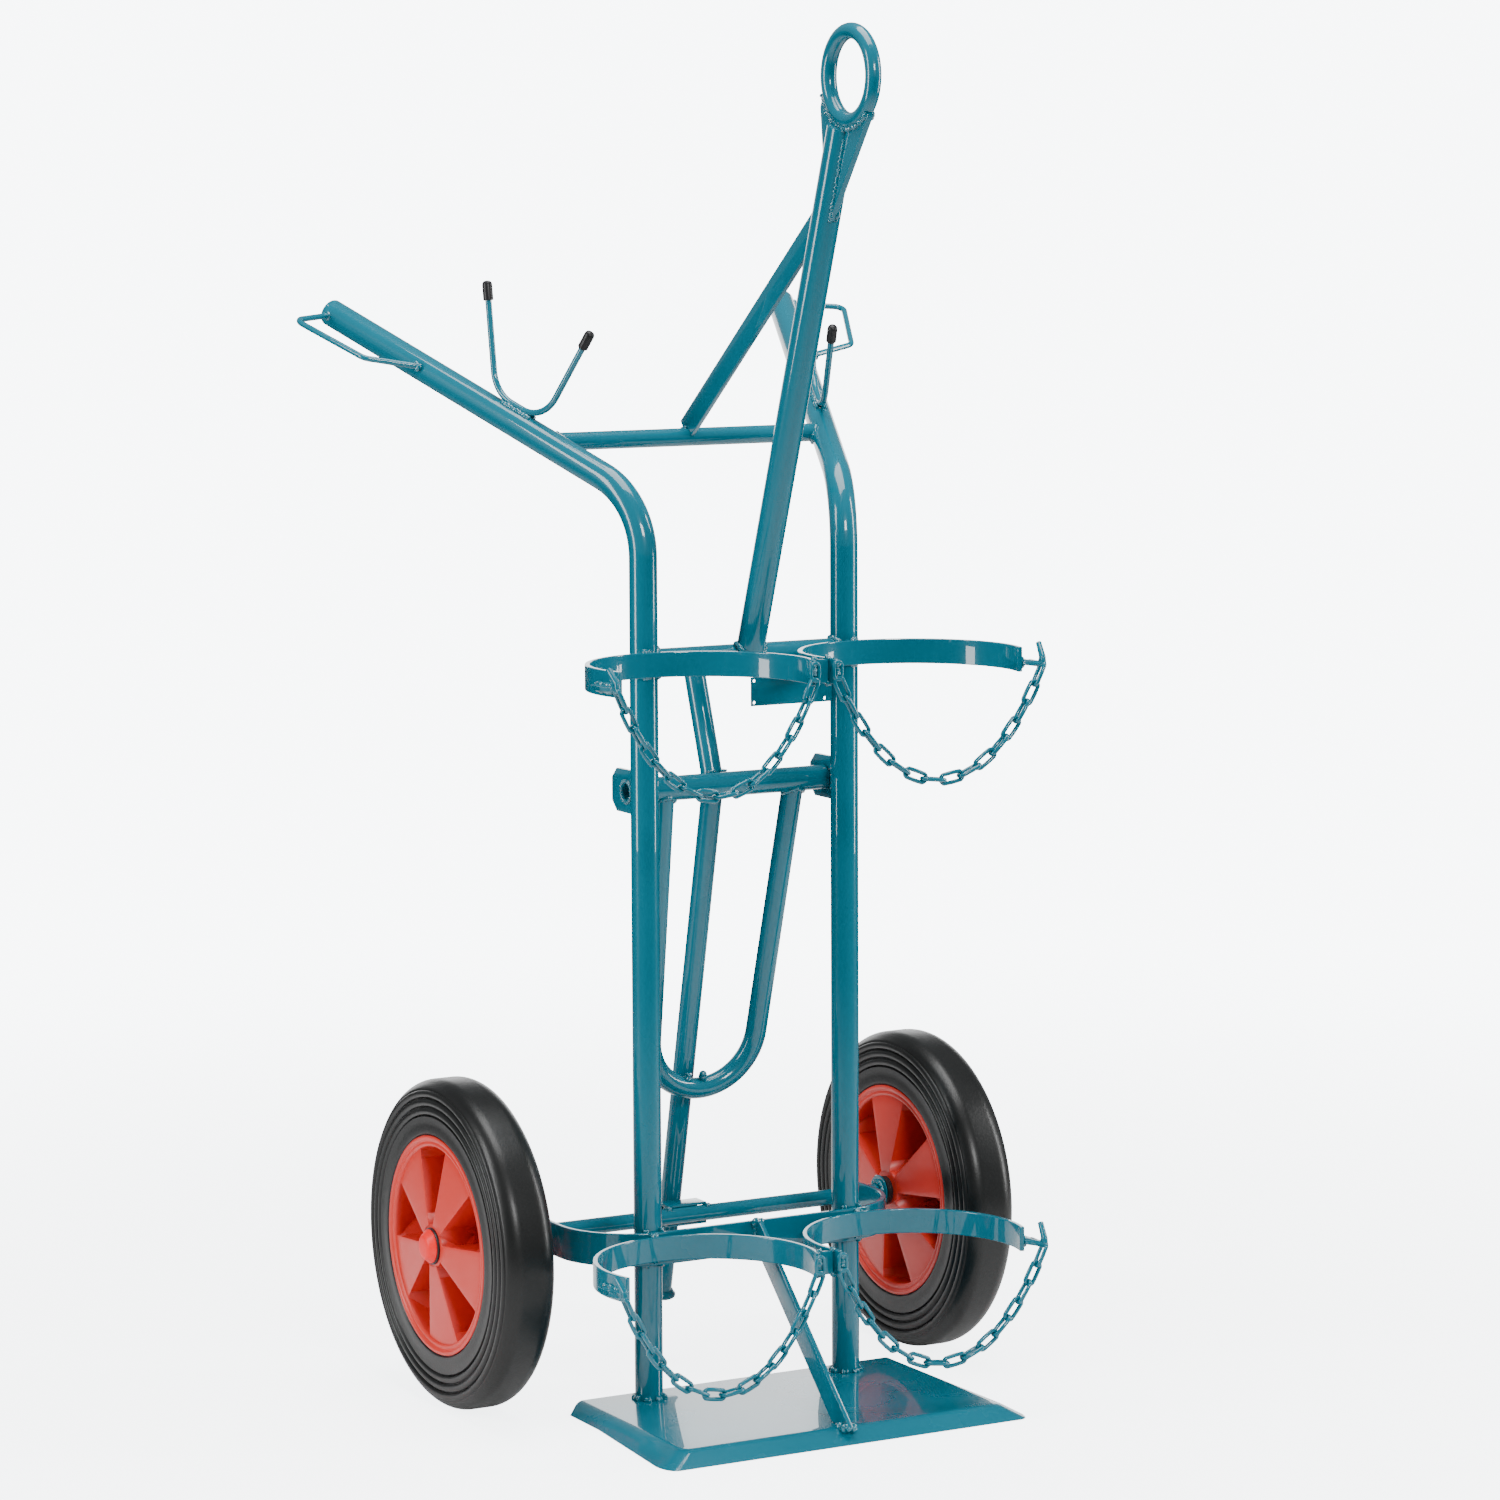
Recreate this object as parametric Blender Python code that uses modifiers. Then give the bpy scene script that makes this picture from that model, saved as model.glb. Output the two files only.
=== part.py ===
"""Gas bottle trolley: a welded tube frame on two wheels, with open cradles for two bottles,
chains across them, hose hooks, a lifting eye and a support leg that swings.

Metres, +Z up. The front, where the bottles stand, faces -Y, and +X is the right-hand side seen
from the front. Sizes are measured from the plane of the two uprights (Y = 0) and from the floor
(Z = 0); one empty then moves the whole trolley so that the middle of its depth is at Y = 0."""

import math

import bmesh
import bpy
from mathutils import Matrix, Vector

GAP = 0.0003  # left between pieces that touch
DEPTH_MIDDLE = 0.08624  # from the uprights' plane back to the middle of the overall depth
SIDES = (("left", -1), ("right", 1))
LEVELS = ("upper", "lower")

# Main frame: bent tubes that are both upright and handle
TUBE_R = 0.01685
TUBE_WALL = 0.0032
UPRIGHT_X = 0.1365
HANDLE_CORNER_Z = 1.098
HANDLE_END = Vector((0.3193, 0.480, 1.3095))
HANDLE_BEND_R = 0.100
PLUG_LENGTH = 0.006
CROSS_TUBE_Z = 0.905
HANDLE_CROSS_R = 0.011
HANDLE_CROSS_Y = 0.140
HANDLE_CROSS_Z = 1.161

# Mast, lifting ring and brace, all in the plane X = 0
RING_CENTRE = Vector((0.0, -0.255, 1.590))
RING_R = 0.0505
RING_ROD_R = 0.0095
MAST_LEAN = math.radians(19.72)
MAST_TOP_GAP = 0.061  # from the ring's centre down to the mast's end
SLOT_REACH = 0.170  # from the ring's centre down to the bottom of the mast's slot
FAN_THICKNESS = 0.008
BRACE_WIDTH = 0.030
BRACE_THICKNESS = 0.006
BRACE_SLOPE = math.radians(38.2)
BRACE_FOOT = Vector((0.0, 0.140, 1.1725))

# Rods on the handles
GUARD_ROD_R = 0.004
GUARD_REAR = Vector((0.387, 0.433, 1.302))
GUARD_FRONT = Vector((0.341, 0.333, 1.258))
GUARD_FRONT_WELD = Vector((0.260, 0.313, 1.244))
HOOK_START_Y = 0.140  # the hose hooks are measured along the handle from here
HOSE_ROD_R = 0.004
CAP_R = 0.00625
CAP_LENGTH = 0.024

# Cradles, hooks and chains
BAND_R = 0.132
BAND_X = 0.141
BAND_HEIGHT = 0.030
BAND_THICKNESS = 0.006
BAND_OPEN = math.radians(17.6)  # each end runs this far past the cradle's middle
BAND_TOP = {"upper": 0.920, "lower": 0.220}
BAND_Y = {"upper": -0.1522, "lower": -0.1597}
HOOK_ROD_R = 0.0035
EYE_WIRE_R = 0.0021
EYE_HALF_WIDTH = 0.0052
EYE_HALF_LENGTH = 0.0105
CHAIN_R = 0.0065
CHAIN_LENGTH = 0.392
CHAIN_END_CLEAR = 0.013

# Axle, its bow and the wheels
AXLE_R = 0.010
AXLE_Y = 0.1434
AXLE_Z = 0.200
AXLE_HALF = 0.355
BOW_Y = -0.0213
BOW_X = 0.217
BOW_BEND_R = 0.092
BOW_REAR = 0.160
BOW_Z = 0.204
BOW_HEIGHT = 0.040
BOW_THICKNESS = 0.006
WHEEL_X = 0.317
TYRE_R = 0.200
TYRE_HALF = 0.035
RIM_SEAT_R = 0.122
RIM_LIP_R = 0.133
HUB_HALF = 0.040
BUSH_R = 0.015

# Toe plate
TOE_TOP = 0.017
TOE_THICKNESS = 0.004
TOE_BACK = 0.031
TOE_FOLD_X = 0.217
TOE_FOLD_Y = -0.236
TOE_EDGE_X = 0.248
TOE_EDGE_BACK_X = 0.228
TOE_EDGE_Y = -0.256
TOE_CORNER_R = 0.015
SEAT_BACK = -0.022  # the bottle seats lie in front of the uprights
SEAT_X = 0.005  # and beside the brace

# Support leg
PIVOT_Y = 0.041
PIVOT_Z = 0.748
PIVOT_R = 0.0125
PIVOT_WALL = 0.0025
SLEEVE_R = 0.015
SLEEVE_BORE_R = 0.0128
SLEEVE_HALF = 0.131
PLATE_THICKNESS = 0.006
LEG_R = 0.013
LEG_WALL = 0.002
LEG_X = -0.008
LEG_CORNER = 0.0263  # from the pivot's axis back to the corner of the bent leg
LEG_BEND_R = 0.060
LEG_SLOPE = 0.2186  # rearwards per unit down
LEG_FOOT_DROP = 0.663
ARM_SLOPE = 0.350  # rearwards per unit up
ARM_RISE = 0.143
BOW_LEAN = math.radians(12.15)
LOOP_TOP_X = 0.089
LOOP_R = 0.0735
LOOP_DROP = 0.3215  # from the pivot's axis down to the middle of the round bottom
LOOP_TAPER = math.radians(2.74)

BLUE = ("blue_paint", (0.005, 0.205, 0.300), 0.15, 0.0)
RED = ("red_plastic", (0.750, 0.080, 0.050), 0.35, 0.0)
RUBBER = ("black_rubber", (0.018, 0.019, 0.019), 0.55, 0.0)
BLACK = ("black_plastic", (0.012, 0.012, 0.013), 0.30, 0.0)


def clear_scene():
    """Remove whatever the file opened with."""
    for thing in list(bpy.data.objects):
        bpy.data.objects.remove(thing, do_unlink=True)


def new_collection(name):
    """A collection linked to the scene."""
    collection = bpy.data.collections.new(name)
    bpy.context.scene.collection.children.link(collection)
    return collection


def new_material(finish):
    """The named finish's material, made on its first use."""
    name, colour, roughness, metallic = finish
    material = bpy.data.materials.get(name)
    if material is None:
        material = bpy.data.materials.new(name)
        material.use_nodes = True
        shader = material.node_tree.nodes["Principled BSDF"]
        shader.inputs["Base Color"].default_value = (*colour, 1.0)
        shader.inputs["Roughness"].default_value = roughness
        shader.inputs["Metallic"].default_value = metallic
    return material


def add_object(name, data, finish, parent, place=(0, 0, 0), turn=(0, 0, 0)):
    """An object of the trolley, under its parent empty. With no finish it is a cutter."""
    thing = bpy.data.objects.new(name, data)
    thing.parent = parent
    thing.location = place
    thing.rotation_euler = turn
    if finish:
        PARTS.objects.link(thing)
        data.materials.append(new_material(finish))
    else:
        CUTTERS.objects.link(thing)
        thing.hide_render = True
        thing.display_type = "WIRE"
    return thing


def add_empty(name, parent, place, turn=(0, 0, 0)):
    """An empty that carries the pieces of one body."""
    empty = bpy.data.objects.new(name, None)
    empty.parent = parent
    empty.location = place
    empty.rotation_euler = turn
    PARTS.objects.link(empty)
    return empty


def smooth(mesh):
    """Shade the round faces smooth and keep the edges of flat ones."""
    mesh.shade_smooth()
    mesh.set_sharp_from_angle(angle=math.radians(40))


def as_mesh(thing, finish):
    """Turn a curve object into a mesh object at the same place."""
    bpy.context.view_layer.update()
    evaluated = thing.evaluated_get(bpy.context.evaluated_depsgraph_get())
    mesh = bpy.data.meshes.new_from_object(evaluated)
    body = bmesh.new()
    body.from_mesh(mesh)
    bmesh.ops.remove_doubles(body, verts=body.verts, dist=0.00001)
    body.to_mesh(mesh)
    body.free()
    name, parent = thing.name, thing.parent
    place, turn = thing.location.copy(), thing.rotation_euler.copy()
    bpy.data.objects.remove(thing, do_unlink=True)
    mesh.materials.clear()
    solid = add_object(name, mesh, finish, parent, place, turn)
    smooth(mesh)
    return solid


def boolean(thing, other, operation="DIFFERENCE"):
    """Cut the other object from this one, or join it on."""
    step = thing.modifiers.new(other.name, "BOOLEAN")
    step.object = other
    step.operation = operation


def rod(name, path, radius, finish, parent, sides=8, wall=0.0, place=(0, 0, 0)):
    """A bent rod, or with a wall a bent tube, along the path's points."""
    curve = bpy.data.curves.new(name, "CURVE")
    curve.dimensions = "3D"
    curve.bevel_depth = radius
    curve.bevel_resolution = (sides - 4) // 2
    curve.use_fill_caps = wall == 0
    spline = curve.splines.new("POLY")
    spline.points.add(len(path) - 1)
    for point, corner in zip(spline.points, path):
        point.co = (*corner, 1.0)
    thing = add_object(name, curve, finish, parent, place)
    if wall:
        shell = thing.modifiers.new("wall", "SOLIDIFY")
        shell.thickness = wall
        shell.offset = -1.0
    return thing


def straight(name, start, end, radius, finish, parent, sides=16, wall=0.0):
    """A straight round bar, or with a wall a tube, from start to end."""
    start, end = Vector(start), Vector(end)
    run = end - start
    body = bmesh.new()
    middle = Matrix.Translation((0, 0, run.length / 2))
    bmesh.ops.create_cone(
        body, cap_ends=wall == 0, segments=sides, radius1=radius, radius2=radius, depth=run.length, matrix=middle
    )
    mesh = bpy.data.meshes.new(name)
    body.to_mesh(mesh)
    body.free()
    smooth(mesh)
    turn = run.to_track_quat("Z", "Y").to_euler()
    thing = add_object(name, mesh, finish, parent, start, turn)
    if wall:
        shell = thing.modifiers.new("wall", "SOLIDIFY")
        shell.thickness = wall
        shell.offset = -1.0
    return thing


def round_cutter(name, start, end, radius, parent):
    """A cutter whose flats clear a round piece of this radius by the gap."""
    sides = 32 if radius > LEG_R else 16
    return straight(name, start, end, (radius + GAP) / math.cos(math.pi / sides), None, parent, sides)


def flat(name, loops, thickness, finish, parent, place=(0, 0, 0), turn=(0, 0, 0)):
    """A flat piece: the first loop is its outline, and the others are holes."""
    curve = bpy.data.curves.new(name, "CURVE")
    curve.dimensions = "2D"
    curve.fill_mode = "BOTH"
    curve.extrude = thickness / 2
    for loop in loops:
        spline = curve.splines.new("POLY")
        spline.points.add(len(loop) - 1)
        spline.use_cyclic_u = True
        for point, corner in zip(spline.points, loop):
            point.co = (*corner, 0.0, 1.0)
    return add_object(name, curve, finish, parent, place, turn)


UPRIGHT_PLANE = (math.pi / 2, 0, math.pi / 2)  # turns an outline's X, Y into Y, Z


def box(name, low, high, finish, parent):
    """A square-edged block between two corners."""
    low, high = Vector(low), Vector(high)
    body = bmesh.new()
    bmesh.ops.create_cube(body, size=1.0, matrix=Matrix.Diagonal((*(high - low), 1.0)))
    mesh = bpy.data.meshes.new(name)
    body.to_mesh(mesh)
    body.free()
    return add_object(name, mesh, finish, parent, (low + high) / 2)


def turned(name, profile, finish, parent, place=(0, 0, 0), turn=(0, 0, 0), steps=28, ring=False):
    """A turned piece about its own Z. The profile holds (radius, height) down the outer side."""
    mesh = bpy.data.meshes.new(name)
    edges = [(i, i + 1) for i in range(len(profile) - 1)]
    if ring:
        edges.append((len(profile) - 1, 0))
    mesh.from_pydata([(radius, 0.0, height) for radius, height in profile], edges, [])
    thing = add_object(name, mesh, finish, parent, place, turn)
    screw = thing.modifiers.new("turn", "SCREW")
    screw.steps = steps
    screw.render_steps = steps
    screw.use_merge_vertices = True
    screw.merge_threshold = 0.00001
    screw.use_smooth_shade = True
    return thing


def arc(centre, radius, start, end, steps):
    """Points on an arc in a plane, with angles in radians."""
    angles = [start + (end - start) * i / steps for i in range(steps + 1)]
    return [(centre[0] + radius * math.cos(a), centre[1] + radius * math.sin(a)) for a in angles]


def rounded_path(corners, radius, step=math.radians(14)):
    """A route through the corners, each inner one turned into an arc of the radius."""
    corners = [Vector(corner) for corner in corners]
    path = [corners[0]]
    for before, corner, after in zip(corners, corners[1:], corners[2:]):
        into = (corner - before).normalized()
        out = (after - corner).normalized()
        turn = into.angle(out)
        start = corner - into * radius * math.tan(turn / 2)
        centre = corner + (out - into).normalized() * radius / math.cos(turn / 2)
        axis = into.cross(out).normalized()
        steps = max(2, round(turn / step))
        for i in range(steps + 1):
            path.append(centre + Matrix.Rotation(turn * i / steps, 3, axis) @ (start - centre))
    path.append(corners[-1])
    return path


def sided(point, side):
    """A point of the right-hand side, or its mirror image."""
    return Vector((point[0] * side, point[1], point[2]))


def handle_corner():
    """Where the upright's line meets the handle's."""
    return Vector((UPRIGHT_X, 0.0, HANDLE_CORNER_Z))


def handle_at(y):
    """The point of the right handle's axis at a depth."""
    return handle_corner().lerp(HANDLE_END, y / HANDLE_END.y)


def add_uprights(cart):
    """The two bent tubes with their end plugs."""
    along = (HANDLE_END - handle_corner()).normalized()
    for word, side in SIDES:
        foot = Vector((UPRIGHT_X, 0.0, TOE_TOP + GAP))
        end = HANDLE_END - along * PLUG_LENGTH
        route = rounded_path([foot, handle_corner(), end], HANDLE_BEND_R)
        route = [sided(point, side) for point in route]
        rod(f"{word}_upright", route, TUBE_R, BLUE, cart, sides=16, wall=TUBE_WALL)
        edge = 0.002
        profile = [(0.0, PLUG_LENGTH), (TUBE_R - edge, PLUG_LENGTH), (TUBE_R, PLUG_LENGTH - edge), (TUBE_R, GAP), (0.0, GAP)]
        turn = sided(along, side).to_track_quat("Z", "Y").to_euler()
        turned(f"{word}_handle_plug", profile, BLUE, cart, sided(end, side), turn, steps=16)


def handle_cutter(name, side, cart):
    """A cutter along the whole of one handle."""
    along = (HANDLE_END - handle_corner()).normalized()
    start = handle_at(HOOK_START_Y / 2)
    return round_cutter(name, sided(start, side), sided(HANDLE_END + along * 0.03, side), TUBE_R, cart)


def add_cross_tubes(cart):
    """The tube between the uprights and the one between the handles."""
    tube = straight(
        "upper_cross_tube",
        (-UPRIGHT_X, 0, CROSS_TUBE_Z),
        (UPRIGHT_X, 0, CROSS_TUBE_Z),
        TUBE_R,
        BLUE,
        cart,
        wall=TUBE_WALL,
    )
    reach = 0.05
    for word, side in SIDES:
        low = (side * UPRIGHT_X, 0, CROSS_TUBE_Z - reach)
        high = (side * UPRIGHT_X, 0, CROSS_TUBE_Z + reach)
        boolean(tube, round_cutter(f"cut_{word}_upright", low, high, TUBE_R, cart))
    end = handle_at(HANDLE_CROSS_Y).x
    tube = straight(
        "handle_cross_tube",
        (-end, HANDLE_CROSS_Y, HANDLE_CROSS_Z),
        (end, HANDLE_CROSS_Y, HANDLE_CROSS_Z),
        HANDLE_CROSS_R,
        BLUE,
        cart,
        wall=0.002,
    )
    for word, side in SIDES:
        boolean(tube, handle_cutter(f"cut_{word}_handle", side, cart))


def mast_point(down, forward=0.0):
    """A point (Y, Z) by its distance from the ring's centre down the mast, and forward of its axis."""
    axis = Vector((-math.sin(MAST_LEAN), math.cos(MAST_LEAN)))
    front = Vector((-math.cos(MAST_LEAN), -math.sin(MAST_LEAN)))
    return Vector(RING_CENTRE.yz) - axis * down + front * forward


def add_mast(cart):
    """The leaning mast, slotted at its top for the fan-shaped plate that holds the lifting ring."""
    down_to_tube = (RING_CENTRE.z - CROSS_TUBE_Z) / math.cos(MAST_LEAN)
    low = Vector((0.0, *mast_point(down_to_tube)))
    high = Vector((0.0, *mast_point(MAST_TOP_GAP)))
    mast = straight("mast", low, high, TUBE_R, BLUE, cart, wall=TUBE_WALL)
    boolean(mast, round_cutter("cut_cross_tube", (-0.1, 0, CROSS_TUBE_Z), (0.1, 0, CROSS_TUBE_Z), TUBE_R, cart))
    slot_half = FAN_THICKNESS / 2 + GAP
    middle = Vector((0.0, *mast_point((SLOT_REACH + MAST_TOP_GAP - 0.02) / 2)))
    half_length = (SLOT_REACH - MAST_TOP_GAP + 0.02) / 2
    slot = box("cut_slot", (-slot_half, -0.03, -half_length), (slot_half, 0.03, half_length), None, cart)
    slot.location = middle
    slot.rotation_euler = (MAST_LEAN, 0, 0)
    boolean(mast, slot)

    inner = SLOT_REACH - GAP
    cup = arc(RING_CENTRE.yz, RING_R + RING_ROD_R + 0.0005, math.radians(-18), math.radians(-137), 14)
    outline = [mast_point(*place) for place in ((0.164, TUBE_R), (inner, TUBE_R), (inner, -TUBE_R), (0.120, -TUBE_R))]
    outline += [mast_point(0.0545, -0.0484), *cup, mast_point(0.0355, 0.0552)]
    flat("mast_top_plate", [outline], FAN_THICKNESS, BLUE, cart, turn=UPRIGHT_PLANE)

    bpy.ops.mesh.primitive_torus_add(
        major_radius=RING_R, minor_radius=RING_ROD_R, major_segments=28, minor_segments=8
    )
    ring_mesh = bpy.context.object.data
    bpy.data.objects.remove(bpy.context.object, do_unlink=True)
    smooth(ring_mesh)
    add_object("lifting_ring", ring_mesh, BLUE, cart, RING_CENTRE, (0, math.pi / 2, 0))

    # the brace: from the top of the handles' cross tube to the back of the mast
    forward = Vector((-math.cos(BRACE_SLOPE), math.sin(BRACE_SLOPE)))
    square = Vector((math.sin(BRACE_SLOPE), math.cos(BRACE_SLOPE)))
    foot = Vector(BRACE_FOOT.yz)
    tube = Vector((HANDLE_CROSS_Y, HANDLE_CROSS_Z))
    start = foot + forward * (tube - foot).dot(forward)
    axis_point = mast_point(0.0)
    axis = Vector((-math.sin(MAST_LEAN), math.cos(MAST_LEAN)))
    sideways = Vector((axis.y, -axis.x))
    length = (axis_point - start).dot(sideways) / forward.dot(sideways)
    end = start + forward * length
    half = square * BRACE_WIDTH / 2
    outline = [start - half, start + half, end + half, end - half]
    brace = flat("mast_brace", [outline], BRACE_THICKNESS, BLUE, cart, turn=UPRIGHT_PLANE)
    brace = as_mesh(brace, BLUE)
    boolean(brace, round_cutter("cut_mast", low, high, TUBE_R, cart))
    cross = ((-0.05, HANDLE_CROSS_Y, HANDLE_CROSS_Z), (0.05, HANDLE_CROSS_Y, HANDLE_CROSS_Z))
    boolean(brace, round_cutter("cut_handle_cross", *cross, HANDLE_CROSS_R, cart))


def add_hand_guards(cart):
    """The bent rod outside each handle's grip."""
    corners = [handle_at(0.472), GUARD_REAR, GUARD_FRONT, GUARD_FRONT_WELD]
    for word, side in SIDES:
        route = rounded_path([sided(corner, side) for corner in corners], 0.015, math.radians(18))
        guard = as_mesh(rod(f"{word}_hand_guard", route, GUARD_ROD_R, BLUE, cart), BLUE)
        boolean(guard, handle_cutter(f"cut_{word}_guard", side, cart))


def add_hose_hooks(cart):
    """The U-shaped rod on top of each handle, with a soft cap on both ends."""
    start = handle_at(HOOK_START_Y)
    run = HANDLE_END - handle_corner()
    level = Vector((run.x, run.y)).normalized()
    slope = run.z / Vector((run.x, run.y)).length
    lift = (TUBE_R + HOSE_ROD_R + GAP) * math.sqrt(1 + slope * slope)

    def hook_point(along, height, side):
        return Vector((side * (start.x + level.x * along), start.y + level.y * along, height))

    for word, side in SIDES:
        tips = [hook_point(0.0973, 1.352, side), hook_point(-0.0708, 1.294, side)]
        base = [hook_point(along, start.z + slope * along + lift, side) for along in (0.0846, 0.0081)]
        inner = CAP_LENGTH - 0.020
        ends = []
        for place, corner, tip in (("rear", base[0], tips[0]), ("front", base[1], tips[1])):
            out = (tip - corner).normalized()
            ends.append(tip - out * inner)
            bore = HOSE_ROD_R + GAP
            profile = [(0.0, 0.0), (CAP_R * 0.7, -0.0012), (CAP_R, -0.004), (CAP_R, -CAP_LENGTH)]
            profile += [(bore, -CAP_LENGTH), (bore, GAP - inner), (0.0, GAP - inner)]
            turn = out.to_track_quat("Z", "Y").to_euler()
            turned(f"{word}_hose_hook_{place}_cap", profile, BLACK, cart, tip, turn, steps=12)
        route = rounded_path([ends[0], *base, ends[1]], 0.045)
        rod(f"{word}_hose_hook", route, HOSE_ROD_R, BLUE, cart)


def band_point(side, level, radius, past, height):
    """A point outside a cradle, by its angle past the cradle's middle towards the front."""
    x = side * (BAND_X + radius * math.cos(past))
    return Vector((x, BAND_Y[level] - radius * math.sin(past), height))


def add_cradles(cart):
    """The four round bands and the plates that join each pair."""
    half = BAND_THICKNESS / 2
    start, end = -BAND_OPEN, math.pi + BAND_OPEN
    outline = arc((0, 0), BAND_R + half, start, end, 26) + arc((0, 0), BAND_R - half, end, start, 26)
    for level in LEVELS:
        middle = BAND_TOP[level] - BAND_HEIGHT / 2
        for word, side in SIDES:
            place = (side * BAND_X, BAND_Y[level], middle)
            flat(f"{level}_{word}_cradle_band", [outline], BAND_HEIGHT, BLUE, cart, place)
        y = BAND_Y[level]
        low = (-0.0086, y - 0.033, middle - 0.014)
        high = (0.0086, y - 0.028, middle + 0.014)
        box(f"{level}_cradle_spacer", low, high, BLUE, cart)


def hook_bend(side, level):
    """The corner of a chain hook, where its finger turns up."""
    return band_point(side, level, 0.1570, math.radians(24.5), BAND_TOP[level] - 0.0195)


def add_chain_hooks(cart):
    """The hook at each cradle's outer end: a flat foot against the band and a rod turned up."""
    for level in LEVELS:
        height = BAND_TOP[level] - 0.0195
        for word, side in SIDES:
            name = f"{level}_{word}_chain_hook"
            degrees = math.radians
            inside = BAND_R + BAND_THICKNESS / 2 + GAP
            foot = [
                band_point(side, level, inside, degrees(-1), 0).xy,
                band_point(side, level, inside, degrees(8), 0).xy,
                band_point(side, level, inside, degrees(17), 0).xy,
                band_point(side, level, 0.1500, degrees(22), 0).xy,
                band_point(side, level, 0.1565, degrees(21), 0).xy,
                band_point(side, level, 0.1440, degrees(-1), 0).xy,
            ]
            hook = as_mesh(flat(name, [foot], 0.005, BLUE, cart, (0, 0, height)), BLUE)
            bend = hook_bend(side, level)
            root = band_point(side, level, 0.1480, degrees(12), height)
            tip = bend + sided((0.003, 0.016, 0.0245), side)
            route = rounded_path([root, bend, tip], 0.007, degrees(25))
            shank = as_mesh(rod(f"join_{name}", route, HOOK_ROD_R, None, cart, sides=10), None)
            boolean(hook, shank, "UNION")


def eye_centre(side, level):
    """The middle of the chain eye in front of a cradle's inner end."""
    end = band_point(-side, level, BAND_R, BAND_OPEN, BAND_TOP[level] - 0.014)
    return Vector((side * 2 * BAND_X + end.x, end.y - 0.0040, end.z))


def add_chain_eyes(cart):
    """The link welded upright in front of each cradle's inner end."""
    straight_half = EYE_HALF_LENGTH - EYE_HALF_WIDTH
    for level in LEVELS:
        for word, side in SIDES:
            centre = eye_centre(side, level)
            top = arc((0, straight_half), EYE_HALF_WIDTH, 0, math.pi, 4)
            bottom = arc((0, -straight_half), EYE_HALF_WIDTH, math.pi, 2 * math.pi, 4)
            route = [(x, 0.0, z) for x, z in top + bottom]
            eye = rod(f"{level}_{word}_chain_eye", route, EYE_WIRE_R, BLUE, cart, place=centre)
            eye.data.splines[0].use_cyclic_u = True


def hanging_route(start, end, length, clear, count):
    """Points at equal steps along a chain that hangs between two places, short of both ends."""
    run = Vector((end.x - start.x, end.y - start.y, 0.0))
    span, rise = run.length, end.z - start.z
    slack = math.sqrt(length * length - rise * rise)
    low, high = span / 20, span * 20
    for _ in range(60):
        scale = (low + high) / 2
        if 2 * scale * math.sinh(span / (2 * scale)) > slack:
            low = scale
        else:
            high = scale
    lowest = span / 2 - scale * math.asinh(rise / (2 * scale * math.sinh(span / (2 * scale))))
    first = scale * math.sinh(-lowest / scale)
    points = []
    for i in range(count):
        arm = first + clear + (length - 2 * clear) * i / (count - 1)
        x = lowest + scale * math.asinh(arm / scale)
        drop = scale * (math.cosh((x - lowest) / scale) - math.cosh(lowest / scale))
        points.append(start + run * (x / span) + Vector((0, 0, drop)))
    return points


def add_chains(cart):
    """The four slack chains, each on an empty at its welded end, on the line it swings about."""
    for level in LEVELS:
        for word, side in SIDES:
            name = f"{level}_{word}_chain"
            inner = eye_centre(side, level) - Vector((0, 0, EYE_HALF_LENGTH))
            outer = hook_bend(side, level) + Vector((0, 0.002, 0.0))
            swing = add_empty(f"{name}_swing", cart, inner)
            route = hanging_route(inner, outer, CHAIN_LENGTH, CHAIN_END_CLEAR, 17)
            rod(name, [point - inner for point in route], CHAIN_R, BLUE, swing)


def add_axle(cart):
    """The bow, the axle in it, the washers on the axle and the stop for the leg."""
    half = BOW_THICKNESS / 2
    centre_x = BOW_X - BOW_BEND_R
    centre_y = BOW_Y + BOW_BEND_R

    def side_path(radius, offset):
        right = arc((centre_x, centre_y), radius, -math.pi / 2, 0, 9)
        left = arc((-centre_x, centre_y), radius, math.pi, math.pi * 1.5, 9)
        return [(-BOW_X - offset, BOW_REAR), *left, *right, (BOW_X + offset, BOW_REAR)]

    outline = side_path(BOW_BEND_R + half, half) + side_path(BOW_BEND_R - half, -half)[::-1]
    bow = as_mesh(flat("axle_bow", [outline], BOW_HEIGHT, BLUE, cart, (0, 0, BOW_Z)), BLUE)
    ends = ((-AXLE_HALF, AXLE_Y, AXLE_Z), (AXLE_HALF, AXLE_Y, AXLE_Z))
    boolean(bow, round_cutter("cut_axle", *ends, AXLE_R, cart))
    straight("axle", *ends, AXLE_R, BLUE, cart, sides=24)

    bore = AXLE_R + GAP * 1.5
    for word, side in SIDES:
        profile = [(0.0150, 0.0020), (0.0205, 0.0), (0.0205, -0.0015), (bore, -0.0015), (bore, 0.0020)]
        place = (side * 0.2690, AXLE_Y, AXLE_Z)
        turned(f"{word}_axle_washer", profile, BLUE, cart, place, (0, side * math.pi / 2, 0), steps=16, ring=True)

    wall = 0.0032
    inner = AXLE_R + GAP
    rear = PIVOT_Y + leg_line(PIVOT_Z - AXLE_Z - inner - wall) - LEG_R * math.hypot(1, LEG_SLOPE) - GAP
    front = AXLE_Y
    top, bottom = AXLE_Z + inner, AXLE_Z - inner
    outline = [
        (front, top),
        (rear - wall, top),
        (rear - wall, bottom),
        (front, bottom),
        (front, bottom - wall),
        (rear, bottom - wall),
        (rear, top + wall),
        (front, top + wall),
    ]
    flat("leg_stop", [outline], 0.054, BLUE, cart, (-0.006, 0, 0), UPRIGHT_PLANE)


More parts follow.
